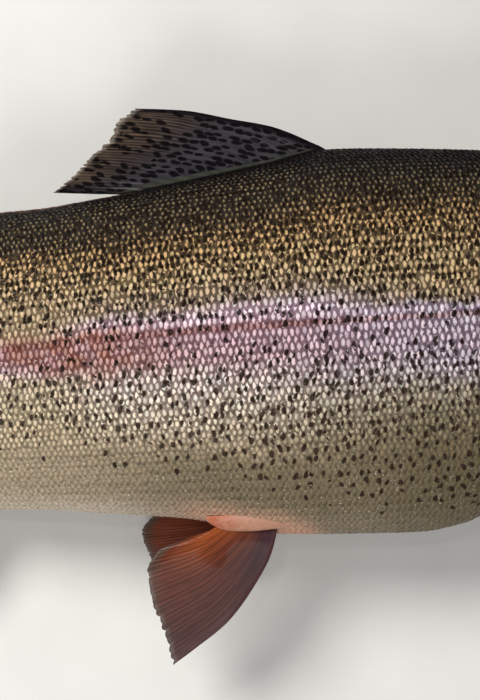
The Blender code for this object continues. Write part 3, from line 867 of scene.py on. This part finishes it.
def scale_lattice():
    """Middle x, row number and side of every scale."""
    found_x, found_row = [], []
    for row in range(LOWEST_ROW, HIGHEST_ROW + 1):
        step = ROW_ALONG[row - LOWEST_ROW]
        columns = [FIRST_COLUMN - (row % 2) * step / 2]
        while columns[-1] > LAST_COLUMN:
            columns.append(columns[-1] - step * float(scale_size(columns[-1])))
        found_x += columns
        found_row += [row - LOWEST_ROW] * len(columns)
    x, row = np.tile(found_x, 2), np.tile(found_row, 2)
    side = np.repeat([1.0, -1.0], len(found_x))
    u = row_share(x, row)
    y = surface(x, u, side)[:, 1]
    beside, midline = SCALE_REACH / half_girth(x), MIDLINE_GAP / half_girth(x)
    inside = (u > midline) & (u < 1 - midline) & (x < through(GILL_EDGE, y) + THROAT_SCALES)
    for near in (u - beside, u, u + beside):
        inside &= behind_gills(x, surface(x, near, side)[:, 1], np.clip(near, 0, 1)) > COVER_GAP
    return x[inside], row[inside], side[inside]


# Outline of a scale, towards the tail and across, in half steps and row steps; then its two crown points.
REAR_TURN = np.radians(np.arange(-60, 61, 30))
REAR = [(0.0, -0.97), *zip(np.cos(REAR_TURN) ** 0.8, 0.97 * np.sin(REAR_TURN)), (0.0, 0.97)]
OUTLINE = np.array(REAR + [(-1.5, 0.62), (-1.5, -0.62)])
CROWN = np.array([(0.3, 0.0), (-0.7, 0.0)])
SHAPE = np.concatenate([OUTLINE, CROWN])
CORNERS = len(OUTLINE)
SCALE_THICKNESS = 0.16
SIZE_RANGE, LIFT_RANGE, TURN_SPREAD, JITTER = (0.9, 1.1), (0.7, 1.15), 0.09, 0.2
ROOT_DEPTH, REAR_RISE, CROWN_RISE = 0.16, 0.58, 0.13  # a scale's root is sunk, its rear end stands up
TOP_GAP = 0.02  # kept between the scales' tops and the body's surface
SCALE_PATCH = (0.0009, 0.0014)  # a scale's patch in OFBake, for each unit of its outline


def tile_faces():
    """Faces of one scale, whose points are its outline, the crown and the outline's underside."""
    n = CORNERS
    crown_rear, crown_root = n, n + 1
    ring = [(k, (k + 1) % n) for k in range(n)]
    top = [(a, b, crown_rear if a < 6 else crown_root) for a, b in ring]
    top += [(6, crown_root, crown_rear), (0, crown_rear, crown_root)]
    walls = [(b, a, a + n + 2, b + n + 2) for a, b in ring]
    bottom = [tuple(range(2 * n + 1, n + 1, -1))]
    return np.array(top), np.array(walls), np.array(bottom)


def with_underside(values):
    """The values of a scale's points, with those of its outline again for the underside."""
    return np.concatenate([values, values[:, :CORNERS]], axis=1)


def build_scales(material):
    x, row, side = scale_lattice()
    count = len(x)
    size = scale_size(x) * RANDOM.uniform(*SIZE_RANGE, count)
    turn = RANDOM.normal(0, TURN_SPREAD, count)[:, None]
    lift = RANDOM.uniform(*LIFT_RANGE, count)
    back = SHAPE[None, :, 0] * (ROW_ALONG[row] / 2 * size)[:, None]
    over = SHAPE[None, :, 1] * (ROW_ACROSS[row] * size)[:, None]
    jitter_x, jitter_q = RANDOM.normal(0, JITTER, (2, count))
    px = x[:, None] - (back * np.cos(turn) - over * np.sin(turn)) + jitter_x[:, None]
    height_over = ROW_HEIGHT[row][:, None] * scale_size(px) + jitter_q[:, None]
    share = height_over + back * np.sin(turn) + over * np.cos(turn)
    own_share = lateral_share(px) - share / half_girth(px)
    own_side = np.repeat(side[:, None], px.shape[1], axis=1)
    # Over the midline of the back or the belly a scale carries on down the other side.
    pu = np.abs(1 - np.abs(1 - own_share))
    ps = own_side * np.where((own_share < 0) | (own_share > 1), -1, 1)
    on_body = surface(px, pu, ps)
    middle_u = row_share(x, row)
    out = surface_normal(x, np.clip(middle_u, 0.01, 0.99), side)[:, None]
    out = unit(out * 0.4 + surface_normal(px, off_midline(pu), ps))
    root, rear = SHAPE[:, 0].min(), SHAPE[:, 0].max()
    height = REAR_RISE * lift[:, None] * ((SHAPE[:, 0] - root) / (rear - root)) - ROOT_DEPTH
    height[:, CORNERS:] += CROWN_RISE
    height = np.minimum(height, SCALE_DEPTH - TOP_GAP)
    height = height + trunk_offset(behind_gills(px, on_body[..., 1], pu), on_body[..., 1])
    under = (on_body + out * (height - SCALE_THICKNESS)[..., None])[:, :CORNERS]
    points = np.concatenate([on_body + out * height[..., None], under], axis=1)
    points[..., 2] = np.maximum(points[..., 2], LEAST_HEIGHT)
    flank = with_underside(flank_place(px, own_share, own_side))
    chance = np.repeat(RANDOM.random(count)[:, None], len(SHAPE), axis=1)
    cell = with_underside(stack(*(np.tile(column, (count, 1)) for column in SHAPE.T), chance))
    local = np.concatenate([SHAPE, OUTLINE]) * SCALE_PATCH
    uv = bake_place(x, middle_u, side)[:, None] + local[None]
    for number, chosen in enumerate(np.array_split(np.argsort(x, kind="stable"), SCALE_PARTS)):
        shift = (np.arange(len(chosen)) * points.shape[1])[:, None, None]
        groups = [(f[None] + shift).reshape(-1, f.shape[1]) for f in tile_faces()]
        new_mesh(
            f"scales_{number}", points[chosen], groups, material, TRUNK, "body_skin",
            {"flank": flank[chosen], "cell": cell[chosen]}, uv[chosen].reshape(-1, 2),
        )


# ---------------------------------------------------------------- fins

BEHIND_STALK = ((-460, 1.2), (-440, 3.0), (-400, 12.0), (-362, 21.0))  # height of the midline there

# Each curve's points are x, y and the height above the midline, which is 0 where none is given. base and tips
# run from the leading ray to the last ray; lead and last run from the base to the tip.
PELVIC = dict(slot="fin_red", thick=(5.0, 0.8), rays=10, ragged=0.014)
PECTORAL = dict(slot="fin_red", thick=(6.0, 0.8), rays=13, ragged=0.014)
FINS = {
    "dorsal_fin": dict(
        slot="fin_dark", thick=(5.0, 0.8), rays=13, ragged=0.022,
        lead=(
            (63, 111), (57, 117.5), (47, 123), (36, 128.6), (25, 133), (2, 138.6), (-26, 145.4),
            (-55.5, 148.4),
        ),
        last=((-52, 90), (-63, 96.5), (-85, 98.5), (-107.6, 100.5)),
        base=((63, 111), (0, 99), (-52, 90)),
        tips=((-55.5, 148.4), (-67, 141.8), (-73, 131), (-83, 122), (-92, 113), (-107.6, 100.5)),
    ),
    "adipose_fin": dict(
        slot="fin_dark", thick=(5.0, 1.6), rays=0, ragged=0.0,
        lead=((-229, 56), (-239, 70), (-249, 80), (-259, 85.5)),
        last=((-256, 48), (-259, 58), (-265, 67), (-272, 73.5)),
        base=((-229, 56), (-256, 48)),
        tips=((-259, 85.5), (-266, 87.5), (-272.5, 85.5), (-274.5, 79.5), (-272, 73.5)),
    ),
    "anal_fin": dict(
        slot="fin_red", thick=(5.0, 0.8), rays=12, ragged=0.02,
        lead=((-156, -80), (-175, -111), (-195, -131), (-212, -143)),
        last=((-230, -52), (-246, -62), (-264, -69)),
        base=((-156, -80), (-193, -67), (-230, -52)),
        tips=((-212, -143), (-222, -125), (-235, -104), (-250, -84), (-264, -69)),
    ),
    "caudal_fin": dict(
        slot="fin_dark", thick=(11.0, 0.9), rays=20, ragged=0.016,
        lead=((-336, 39), (-356, 46.5), (-380, 60), (-415, 79.5), (-447, 92)),
        last=((-336, -37), (-356, -44.5), (-380, -57), (-415, -75.5), (-445, -87)),
        base=((-336, 39), (-336, 1), (-336, -37)),
        tips=(
            (-447, 92), (-451, 84), (-442, 58), (-433, 30), (-430, 2), (-433, -26), (-441, -54), (-449, -79),
            (-445, -87),
        ),
    ),
    "pelvic_fin_right": dict(
        PELVIC,
        lead=(
            (17.5, -101, 27), (12.5, -119, 24), (2.5, -137, 20), (-15.5, -160, 15.5), (-35.5, -175.5, 11),
            (-49.6, -185.5, 8),
        ),
        last=((-12, -94, 25), (-22, -104, 25), (-36, -108.5, 22)),
        base=((17.5, -101, 27), (2, -98, 26), (-12, -94, 25)),
        tips=(
            (-49.6, -185.5, 8), (-55, -163, 12), (-60.5, -143, 17),
            (-61.5, -127, 20), (-55, -116, 22), (-36, -108.5, 22),
        ),
    ),
    "pelvic_fin_left": dict(
        PELVIC,
        lead=((17, -101, -26), (10, -118, -30), (-14, -136, -39), (-50, -149, -52)),
        last=((-12, -94, -24), (-30, -99, -32), (-58, -99, -42)),
        base=((17, -101, -26), (2, -98, -25), (-12, -94, -24)),
        tips=((-50, -149, -52), (-60, -135, -52), (-66, -122, -50), (-68, -111, -47), (-58, -99, -42)),
    ),
    "pectoral_fin_right": dict(
        PECTORAL,
        lead=((257, -42, 32), (245, -51, 43), (215, -62, 46), (163, -83, 44)),
        last=((250, -55, 24), (236, -66, 32), (216, -79, 33)),
        base=((257, -42, 32), (254, -49, 28), (250, -55, 24)),
        tips=((163, -83, 44), (172, -95, 41), (188, -98, 38), (204, -91, 35), (216, -79, 33)),
    ),
    "pectoral_fin_left": dict(
        PECTORAL,
        lead=((257, -42, -32), (246, -54, -43), (218, -76, -53), (166, -104, -61.5)),
        last=((250, -55, -24), (238, -70, -34), (222, -88, -45)),
        base=((257, -42, -32), (254, -49, -28), (250, -55, -24)),
        tips=((166, -104, -61.5), (178, -115, -60), (196, -115, -56), (212, -104, -50), (222, -88, -45)),
    ),
}


def midline_height(x):
    return np.where(np.asarray(x) < BEHIND_STALK[-1][0], through(BEHIND_STALK, x), station(4, x))


def fin_curve(points):
    """A curve's points, at the height of the midline where they give none."""
    points = np.array(points, float)
    return np.pad(points, ((0, 0), (0, 3 - points.shape[1])))


def fin_patch(fin, u, v):
    """Points on the surface spanned by the fin's edge curves. u and v have one shape."""
    spread = lambda curve, t: path(curve, t.ravel()).reshape(*t.shape, 3)
    lead, last, base, tips = (fin_curve(fin[k]) for k in ("lead", "last", "base", "tips"))
    a, b = u[..., None], v[..., None]
    corners = (1 - a) * (1 - b) * base[0] + (1 - a) * b * tips[0] + a * (1 - b) * base[-1] + a * b * tips[-1]
    along = (1 - a) * spread(lead, v) + a * spread(last, v)
    grid = along + (1 - b) * spread(base, u) + b * spread(tips, u) - corners
    grid[..., 2] += midline_height(grid[..., 0])
    return grid


def ray_profile(u, v, rays, tufted):
    """0 between the rays, 1 on them. Each ray forks once halfway, and again near its tip if tufted."""
    if not rays:
        return np.zeros_like(u)
    once, twice, four = (np.abs(np.cos(math.pi * forks * rays * u)) ** 3 for forks in (1, 2, 4))
    fork, tuft = rise(v, 0.35, 0.6), rise(v, 0.68, 0.85) * tufted
    return once * (1 - fork) + (twice * (1 - tuft) + four * tuft) * fork


def fin_reach(u, rays, ragged, seed):
    """How far each part of the fin's edge reaches: the web dips between rays, and some tips are worn."""
    if not rays:
        return np.ones_like(u)
    worn = np.random.default_rng(seed).uniform(0, 1, 4 * rays + 2)
    wear = np.interp(u * 4 * rays, np.arange(4 * rays + 2), worn)
    dip = 1 - np.abs(np.cos(2 * math.pi * rays * u))
    edge = rise(u, 0, 0.03) * rise(u, 1, 0.97)
    return 1 - ragged * (0.55 * dip + 1.3 * wear**2) * edge


def rounded(gap, width, least):
    """The share of the thickness left at this gap from an edge that is rounded over the width."""
    return np.sqrt(np.clip(1 - (1 - np.clip(gap / width, 0, 1)) ** 2, least, 1))


def fin_uv(u, v):
    """The fin's own unwrap: its upper face on the left half, its lower face on the right one."""
    return np.concatenate([stack(start + 0.46 * u, 0.02 + 0.96 * v).reshape(-1, 2) for start in (0.02, 0.52)])


COLUMNS_PER_RAY, PLAIN_COLUMNS, FIN_ROWS = 12, 41, 72
BASE_FLARE = 2.2  # how fast a fin thins from its base
RIDGE, FINE_RIDGE, WAVE = 0.1, 0.02, 0.25  # height of the rays' ridges and of the web's waves
FIN_CLEARANCE = 0.05  # over the floor
FIRST_FIN_SEED = 100


def build_fin(name, material, seed):
    fin = FINS[name]
    rays = fin["rays"]
    columns, rows = (rays * COLUMNS_PER_RAY + 1 if rays else PLAIN_COLUMNS), FIN_ROWS
    u, v = np.meshgrid(np.linspace(0, 1, columns), np.linspace(0, 1, rows), indexing="ij")
    grid = fin_patch(fin, u, v * fin_reach(u, rays, fin["ragged"], seed))
    along = np.gradient(grid, axis=1)
    out = unit(np.cross(np.gradient(grid, axis=0), along))
    ray = ray_profile(u, v, rays, name != "dorsal_fin")
    at_base, at_edge = fin["thick"]
    is_tail = name == "caudal_fin"
    corners = 1 - 0.85 * np.abs(2 * u - 1) ** 3 if is_tail else 1.0
    body = 0.42 * at_edge + 0.5 * (at_base - at_edge) * corners * (1 - v) ** BASE_FLARE
    ridge = FINE_RIDGE if name.startswith("pelvic") else RIDGE
    half = body + ridge * ray * rise(v, 0.02, 0.2) * (1.1 - 0.5 * v)
    half *= rounded(1 - v, 0.02, 0.15) * rounded(np.minimum(u, 1 - u), 0.05, 0.12)
    if not is_tail:
        grid = grid + out * (WAVE * np.sin(u * 9 + v * 3) * v)[..., None]
    thickness = out * half[..., None]
    points = np.concatenate([(grid + thickness).reshape(-1, 3), (grid - thickness).reshape(-1, 3)])
    points[:, 2] = np.maximum(points[:, 2], FIN_CLEARANCE)
    below = columns * rows
    upper = grid_faces(columns, rows)
    border = np.concatenate([
        np.arange(columns) * rows, (columns - 1) * rows + np.arange(1, rows),
        np.arange(columns - 2, -1, -1) * rows + rows - 1, np.arange(rows - 2, 0, -1),
    ])
    after = np.roll(border, -1)
    walls = stack(after, border, border + below, after + below)
    run = np.cumsum(np.linalg.norm(np.diff(grid, axis=1, prepend=grid[:, :1]), axis=-1), axis=1)
    beside = np.diff(grid, axis=0, prepend=grid[:1])
    beside -= unit(along) * np.sum(beside * unit(along), axis=-1, keepdims=True)
    over = np.cumsum(np.linalg.norm(beside, axis=-1), axis=0)
    x, y = grid[..., 0], grid[..., 1]
    clear = np.where(y > 0, y - station(1, x), station(2, x) - y)
    both_faces = lambda *parts: np.tile(stack(*parts).reshape(-1, 3), (2, 1))
    new_mesh(
        f"{name}_rays", points, [upper, upper[:, ::-1] + below, walls], material, (name,), fin["slot"],
        {"ray": both_faces(u, v, ray), "web": both_faces(run, over, clear), "at": points}, fin_uv(u, v),
    )


FLAP = ((32, -97.3, 33.6), (16, -98.4, 34.4), (0, -99.8, 32.4), (-13, -100.2, 30.1), (-25, -97.4, 28.9))
FLAP_WIDTH, FLAP_THICKNESS, FLAP_SLOPE = 8.0, 1.7, math.radians(36)
FLAP_RINGS, FLAP_AROUND = 40, 20
LEFT_FLAP_UP, LEFT_FLAP_OUT = 1.5, 8.5


def flap_material():
    g = Graph("flap_skin")
    x, y, z = g.attribute("at")
    blotch, speck = g.noise(g.vector(x, y, z), 0.3, 3, 0.6), g.noise(g.vector(x, y, z), 1.6)
    tone = g.mix(x.span(-24, 4), (176, 92, 64), (190, 140, 116))
    tone = tone.toward((206, 162, 138), blotch.span(0.35, 0.7, 0, 0.45))
    tone = tone.toward((150, 96, 74), speck.span(0.5, 0.7, 0, 0.4))
    return g.surface(tone, 0.5, (0.2, 0.08, 0.1), (blotch, 0.3, 0.4))


def build_flap(side, material):
    """The fleshy point over the base of a pelvic fin: it grows out of the belly and ends free behind."""
    share = np.linspace(0.0, 1.0, FLAP_RINGS)
    turn = np.arange(FLAP_AROUND) * 2 * math.pi / FLAP_AROUND
    line = path(FLAP, share)
    if side < 0:  # the left fin fans out further, so its flap stands off to clear it
        line[:, 1] += LEFT_FLAP_UP * share
        line[:, 2] += LEFT_FLAP_OUT * share**1.2
    width = FLAP_WIDTH * rise(share, -0.6, 0.3) * np.sqrt(np.clip(1 - share**3.4, 0.004, 1))
    thick = FLAP_THICKNESS * np.sqrt(np.clip(1 - share**6, 0.05, 1))
    slope = np.array([math.cos(FLAP_SLOPE), math.sin(FLAP_SLOPE)])
    down, out = np.array([0, -slope[0], -slope[1]]), np.array([0, -slope[1], slope[0]])
    points = line[:, None] + (width[:, None] * np.cos(turn))[..., None] * down
    points = points + (thick[:, None] * np.sin(turn))[..., None] * out
    points[..., 2] = midline_height(points[..., 0]) + side * points[..., 2]
    a, b = np.meshgrid(share, turn / (2 * math.pi), indexing="ij")
    uv = stack(0.05 + 0.9 * a, 0.05 + 0.9 * b).reshape(-1, 2)
    faces = [f[:, ::-side] for f in tube_faces(FLAP_RINGS, FLAP_AROUND)]
    word = WORD[side]
    flat = points.reshape(-1, 3)
    new_mesh(
        f"flap_{word}", flat, faces, material, (f"pelvic_fin_{word}",), "fin_red", {"at": flat}, uv,
    )


FIN_SKINS = {
    # name: (base, middle, edge, lead edge, where the edge's tone begins and is full)
    "dorsal_fin": ((66, 66, 62), (66, 63, 69), (94, 79, 66), (24, 22, 26), (0.5, 0.9)),
    "adipose_fin": ((70, 66, 48), (84, 76, 54), (36, 30, 26), (26, 24, 22), (0.65, 1)),
    "caudal_fin": ((70, 62, 44), (96, 82, 62), (112, 90, 70), (38, 34, 30), (0.65, 1)),
    "anal_fin": ((150, 108, 84), (128, 80, 60), (112, 92, 84), (190, 172, 158), (0.65, 1)),
    "pelvic_fin_right": ((104, 56, 44), (106, 57, 44), (98, 74, 64), (84, 58, 57), (0.86, 1.05)),
    "pelvic_fin_left": ((120, 66, 54), (126, 68, 52), (104, 84, 76), (90, 60, 58), (0.86, 1.05)),
    "pectoral_fin_right": ((158, 138, 112), (128, 106, 82), (112, 100, 88), (104, 90, 74), (0.65, 1)),
    "pectoral_fin_left": ((158, 138, 112), (128, 106, 82), (112, 100, 88), (104, 90, 74), (0.65, 1)),
}
FIN_SPOTS = {
    # name: (share of spots, their half axes, the slope of the rays in degrees)
    "dorsal_fin": (1.0, (3.3, 1.28), 15),
    "adipose_fin": (0.8, (1.9, 1.6), 30),
    "caudal_fin": (0.93, (2.7, 1.5), 0),
}


def dorsal_tone(g, tone, u, v, rays, clear):
    """Brown streaks along the worn rays, black leading edge and rear corner, a smooth strip at the foot."""
    outer = v.span(0.46, 0.7) * u.span(0.95, 0.6)
    broken = g.noise(g.vector(v * 7, u * (rays * 1.6)), 1.0, 3, 0.65)
    gap = (u * (rays * 2.5)).fold(0.5) + (broken - 0.5) * 0.5
    dark_gap = outer * gap.span(0.08, 0.3) * broken.span(0.3, 0.6, 0.55, 0.92)
    tone = tone.toward((38, 32, 32), dark_gap)
    tone = tone.toward((52, 44, 44), v.span(0.97, 0.7) * outer * u.span(0.25, 0.7, 0, 0.4))
    tone = tone.toward((44, 40, 44), u.span(0.82, 0.95) * v.span(0.2, 0.5))
    strip = v.span(0.3, 0.5) * 20 + (clear - u.line(0.1, 1, 1, 4.6))
    tone = tone.toward((68, 71, 62), strip.span(0.6, -0.6)).toward((26, 24, 24), clear.span(1.2, 0.3))
    return tone, (1 - outer * 0.35) * strip.span(0, 0.8)


def pelvic_tone(tone, u, v, warped, rays, vivid):
    """Orange over the inner rays, violet brown at the lead, with fine paler rays."""
    tone = tone.toward((176, 90, 46), u.span(0.42, 0.88) * warped.span(1, 0.5) * vivid)
    tone = tone.toward((78, 52, 52), u.span(0.5, 0.1) * 0.75)
    tone = tone.toward((60, 44, 52), u.span(0.45, 0.12) * v.span(0.55, 0.2) * u.span(0, 0.08) * 0.75)
    tone = tone.toward((92, 82, 72), u.span(0.55, 0.8) * v.span(0.86, 0.94) * 0.7)
    gap = (u * (rays * 3)).fold(0.5)
    return tone.toward((46, 28, 28), gap.span(0.1, 0.4) * v.span(0.1, 0.4, 0.1, 0.42))


def fin_spots(g, name, shown, bend):
    """Rows of dark ovals along the rays."""
    spotted, size, slope = FIN_SPOTS[name]
    x, y, _ = g.attribute("at")
    cos, sin = math.cos(math.radians(slope)), math.sin(math.radians(slope))
    pitch = (size[0] * 2.2, size[1] * 2.9)
    return spot_layer(g, x * cos - y * sin, bend + x * sin + y * cos, pitch, size, shown * spotted)


def fin_material(name):
    g = Graph(name + "_skin")
    rays = max(FINS[name]["rays"], 1)
    base, middle, edge, lead, edge_span = FIN_SKINS[name]
    u, v, ray = g.attribute("ray")
    run, over, clear = g.attribute("web")
    wide = g.noise(g.vector(run, over), 0.045, 3) - 0.5
    streak = g.noise(g.vector(run * 0.04, u * (rays * 3)), 1.0, 3, 0.6)
    warped = wide * 0.25 + v
    tone = g.mix(warped.span(0, 0.2), base, middle).toward(edge, warped.span(*edge_span))
    shown = v.span(0.04, 0.12)
    if name == "dorsal_fin":
        tone, shown = dorsal_tone(g, tone, u, v, rays, clear)
    elif name.startswith("pelvic"):
        tone = pelvic_tone(tone, u, v, warped, rays, 0.92 if name.endswith("right") else 0.35)
    tone = tone.toward(lead, u.span(0.08, 0.03))
    dark = g.mix(0.7, tone, (18, 12, 11))
    tone = tone.toward(dark, streak.span(0.4, 0.7, 0, 0.28 if name.startswith("pectoral") else 0.5))
    tone = tone.toward(dark, ray.span(0.5, 0.05) * v.span(0.05, 0.3) * 0.4)
    if name in FIN_SPOTS:
        tone = tone.toward((14, 11, 14), fin_spots(g, name, shown, wide * 6) * 0.95)
    fringe = (150, 138, 126) if name == "dorsal_fin" else (112, 102, 98)
    tone = tone.toward(fringe, v.span(0.955, 1) * streak.span(0.6, 0.4, 0.3, 0.8))
    height = (v * 46).fold(0.5) * 0.35 + streak
    return g.surface(tone, streak.line(0.3, 0.7, 0.42, 0.6), (0.1, 0.06, 0.0), (height, 0.12, 0.3))


# ---------------------------------------------------------------- eyes

EYE_RINGS, EYE_AROUND = 40, 64


def eye_material(side):
    g = Graph(f"eye_skin_{WORD[side]}")
    along, across, _ = g.attribute("disc")
    radius = (along * along + across * across).math("SQRT")
    angle = across.math("ARCTAN2", along)
    # The pupil is drawn out to a point at the front.
    pupil_edge = angle.math("COSINE").most(0.0) * 0.075 + 0.36
    pupil = (radius - pupil_edge).span(0.015, -0.015)
    ring = (radius - (pupil_edge + 0.035)).math("ABSOLUTE").span(0.035, 0.005)
    threads = g.noise(g.vector(angle * 7, radius * 5), 1.0, 4, 0.6)
    iris = g.mix(threads.span(0.3, 0.7), (70, 52, 26), (172, 138, 72))
    iris = iris.toward((34, 28, 20), across.span(-0.1, 0.6) * 0.75)
    iris = iris.toward((26, 22, 18), radius.span(0.66, 0.80))
    tone = iris.toward((206, 168, 92), ring * 0.85).toward((5, 6, 8), pupil)
    return g.surface(tone, pupil.line(0, 1, 0.28, 0.08), (1.0, 0.02, 0.5), (threads, 0.05, 0.3))


def build_eye(side):
    word = WORD[side]
    low, high = (np.array(v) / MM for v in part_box(f"eye_{word}"))
    centre, reach = (low + high) / 2, (high - low) / 2
    tilt = np.linspace(0.02, math.pi - 0.02, EYE_RINGS)
    turn = np.arange(EYE_AROUND) * 2 * math.pi / EYE_AROUND
    t, a = np.meshgrid(tilt, turn, indexing="ij")
    disc = stack(np.sin(t) * np.cos(a), np.sin(t) * np.sin(a), np.cos(t))
    cornea = 0.97 + 0.03 * rise(t, 0.95, 0.5)
    offset = disc * reach * cornea[..., None]
    offset[..., 2] *= side
    faces = [f[:, ::side] for f in tube_faces(EYE_RINGS, EYE_AROUND)]
    points = (centre + offset).reshape(-1, 3)
    new_mesh(
        f"eyeball_{word}", points, faces, eye_material(side), (f"eye_{word}",), "eye",
        {"disc": disc.reshape(-1, 3)},
    )


# ---------------------------------------------------------------- stage

FLOOR_REACH = 4.0
STUDIO_TONE, STUDIO_STRENGTH = (0.93, 0.96, 1.0, 1), 0.16
LIGHTS = (
    # name, place, the height aimed at, size, energy, colour
    ("key", (-0.8, 1.0, 1.7), 0.05, 0.9, 38, (1.0, 0.98, 0.94)),
    ("fill", (-0.5, -1.3, 1.3), 0.05, 1.1, 16, (1.0, 0.99, 0.97)),
    ("glint", (-0.14, 0.30, 1.9), 0.1, 0.05, 1.2, (1.0, 0.99, 0.97)),
)
CAMERA_ABOVE_MIDLINE, CAMERA_ROLL, CAMERA_ANGLE = 1.0, math.radians(3), math.radians(23.7)
DEEPEST_X = 19.0  # the camera's height is taken from the midline here


def build_stage():
    mesh = bpy.data.meshes.new("floor")
    corners = [(x * FLOOR_REACH, y * FLOOR_REACH, 0) for x, y in ((-1, -1), (1, -1), (1, 1), (-1, 1))]
    mesh.from_pydata(corners, [], [(0, 1, 2, 3)])
    floor = place_object("floor", mesh)
    g = Graph("floor")
    position = g.add("ShaderNodeNewGeometry", {})[0]
    tone = g.mix(g.noise(position, 14.0, 3).span(0.3, 0.7), (226, 225, 222), (231, 230, 227))
    mesh.materials.append(g.surface(tone, 0.8, (0.0, 0.0, 0.2)))


def build_lights():
    world = bpy.data.worlds.new("studio")
    bpy.context.scene.world = world
    world.use_nodes = True
    background = world.node_tree.nodes["Background"]
    background.inputs[0].default_value = STUDIO_TONE
    background.inputs[1].default_value = STUDIO_STRENGTH
    for name, place, aim, size, energy, colour in LIGHTS:
        light = bpy.data.lights.new(name, "AREA")
        light.shape, light.size, light.energy, light.color = "DISK", size, energy, colour
        lamp = place_object(name, light)
        lamp.location = place
        lamp.rotation_euler = (Vector((0, 0, aim)) - Vector(place)).to_track_quat("-Z", "Y").to_euler()


def build_camera():
    camera = bpy.data.cameras.new("camera")
    camera.angle = CAMERA_ANGLE
    camera.clip_start = 0.01
    holder = place_object("camera", camera)
    holder.location = (0, 0, float(station(4, DEEPEST_X)) * MM + CAMERA_ABOVE_MIDLINE)
    holder.rotation_euler = (0, 0, -CAMERA_ROLL)
    bpy.context.scene.camera = holder


build_skin()
build_scales(scale_material())
for number, fin_name in enumerate(FINS):
    build_fin(fin_name, fin_material(fin_name), FIRST_FIN_SEED + number)
flap_skin = flap_material()
for flank in (1, -1):
    build_eye(flank)
    build_flap(flank, flap_skin)
build_stage()
build_lights()
build_camera()
bpy.context.scene.view_settings.view_transform = "Standard"
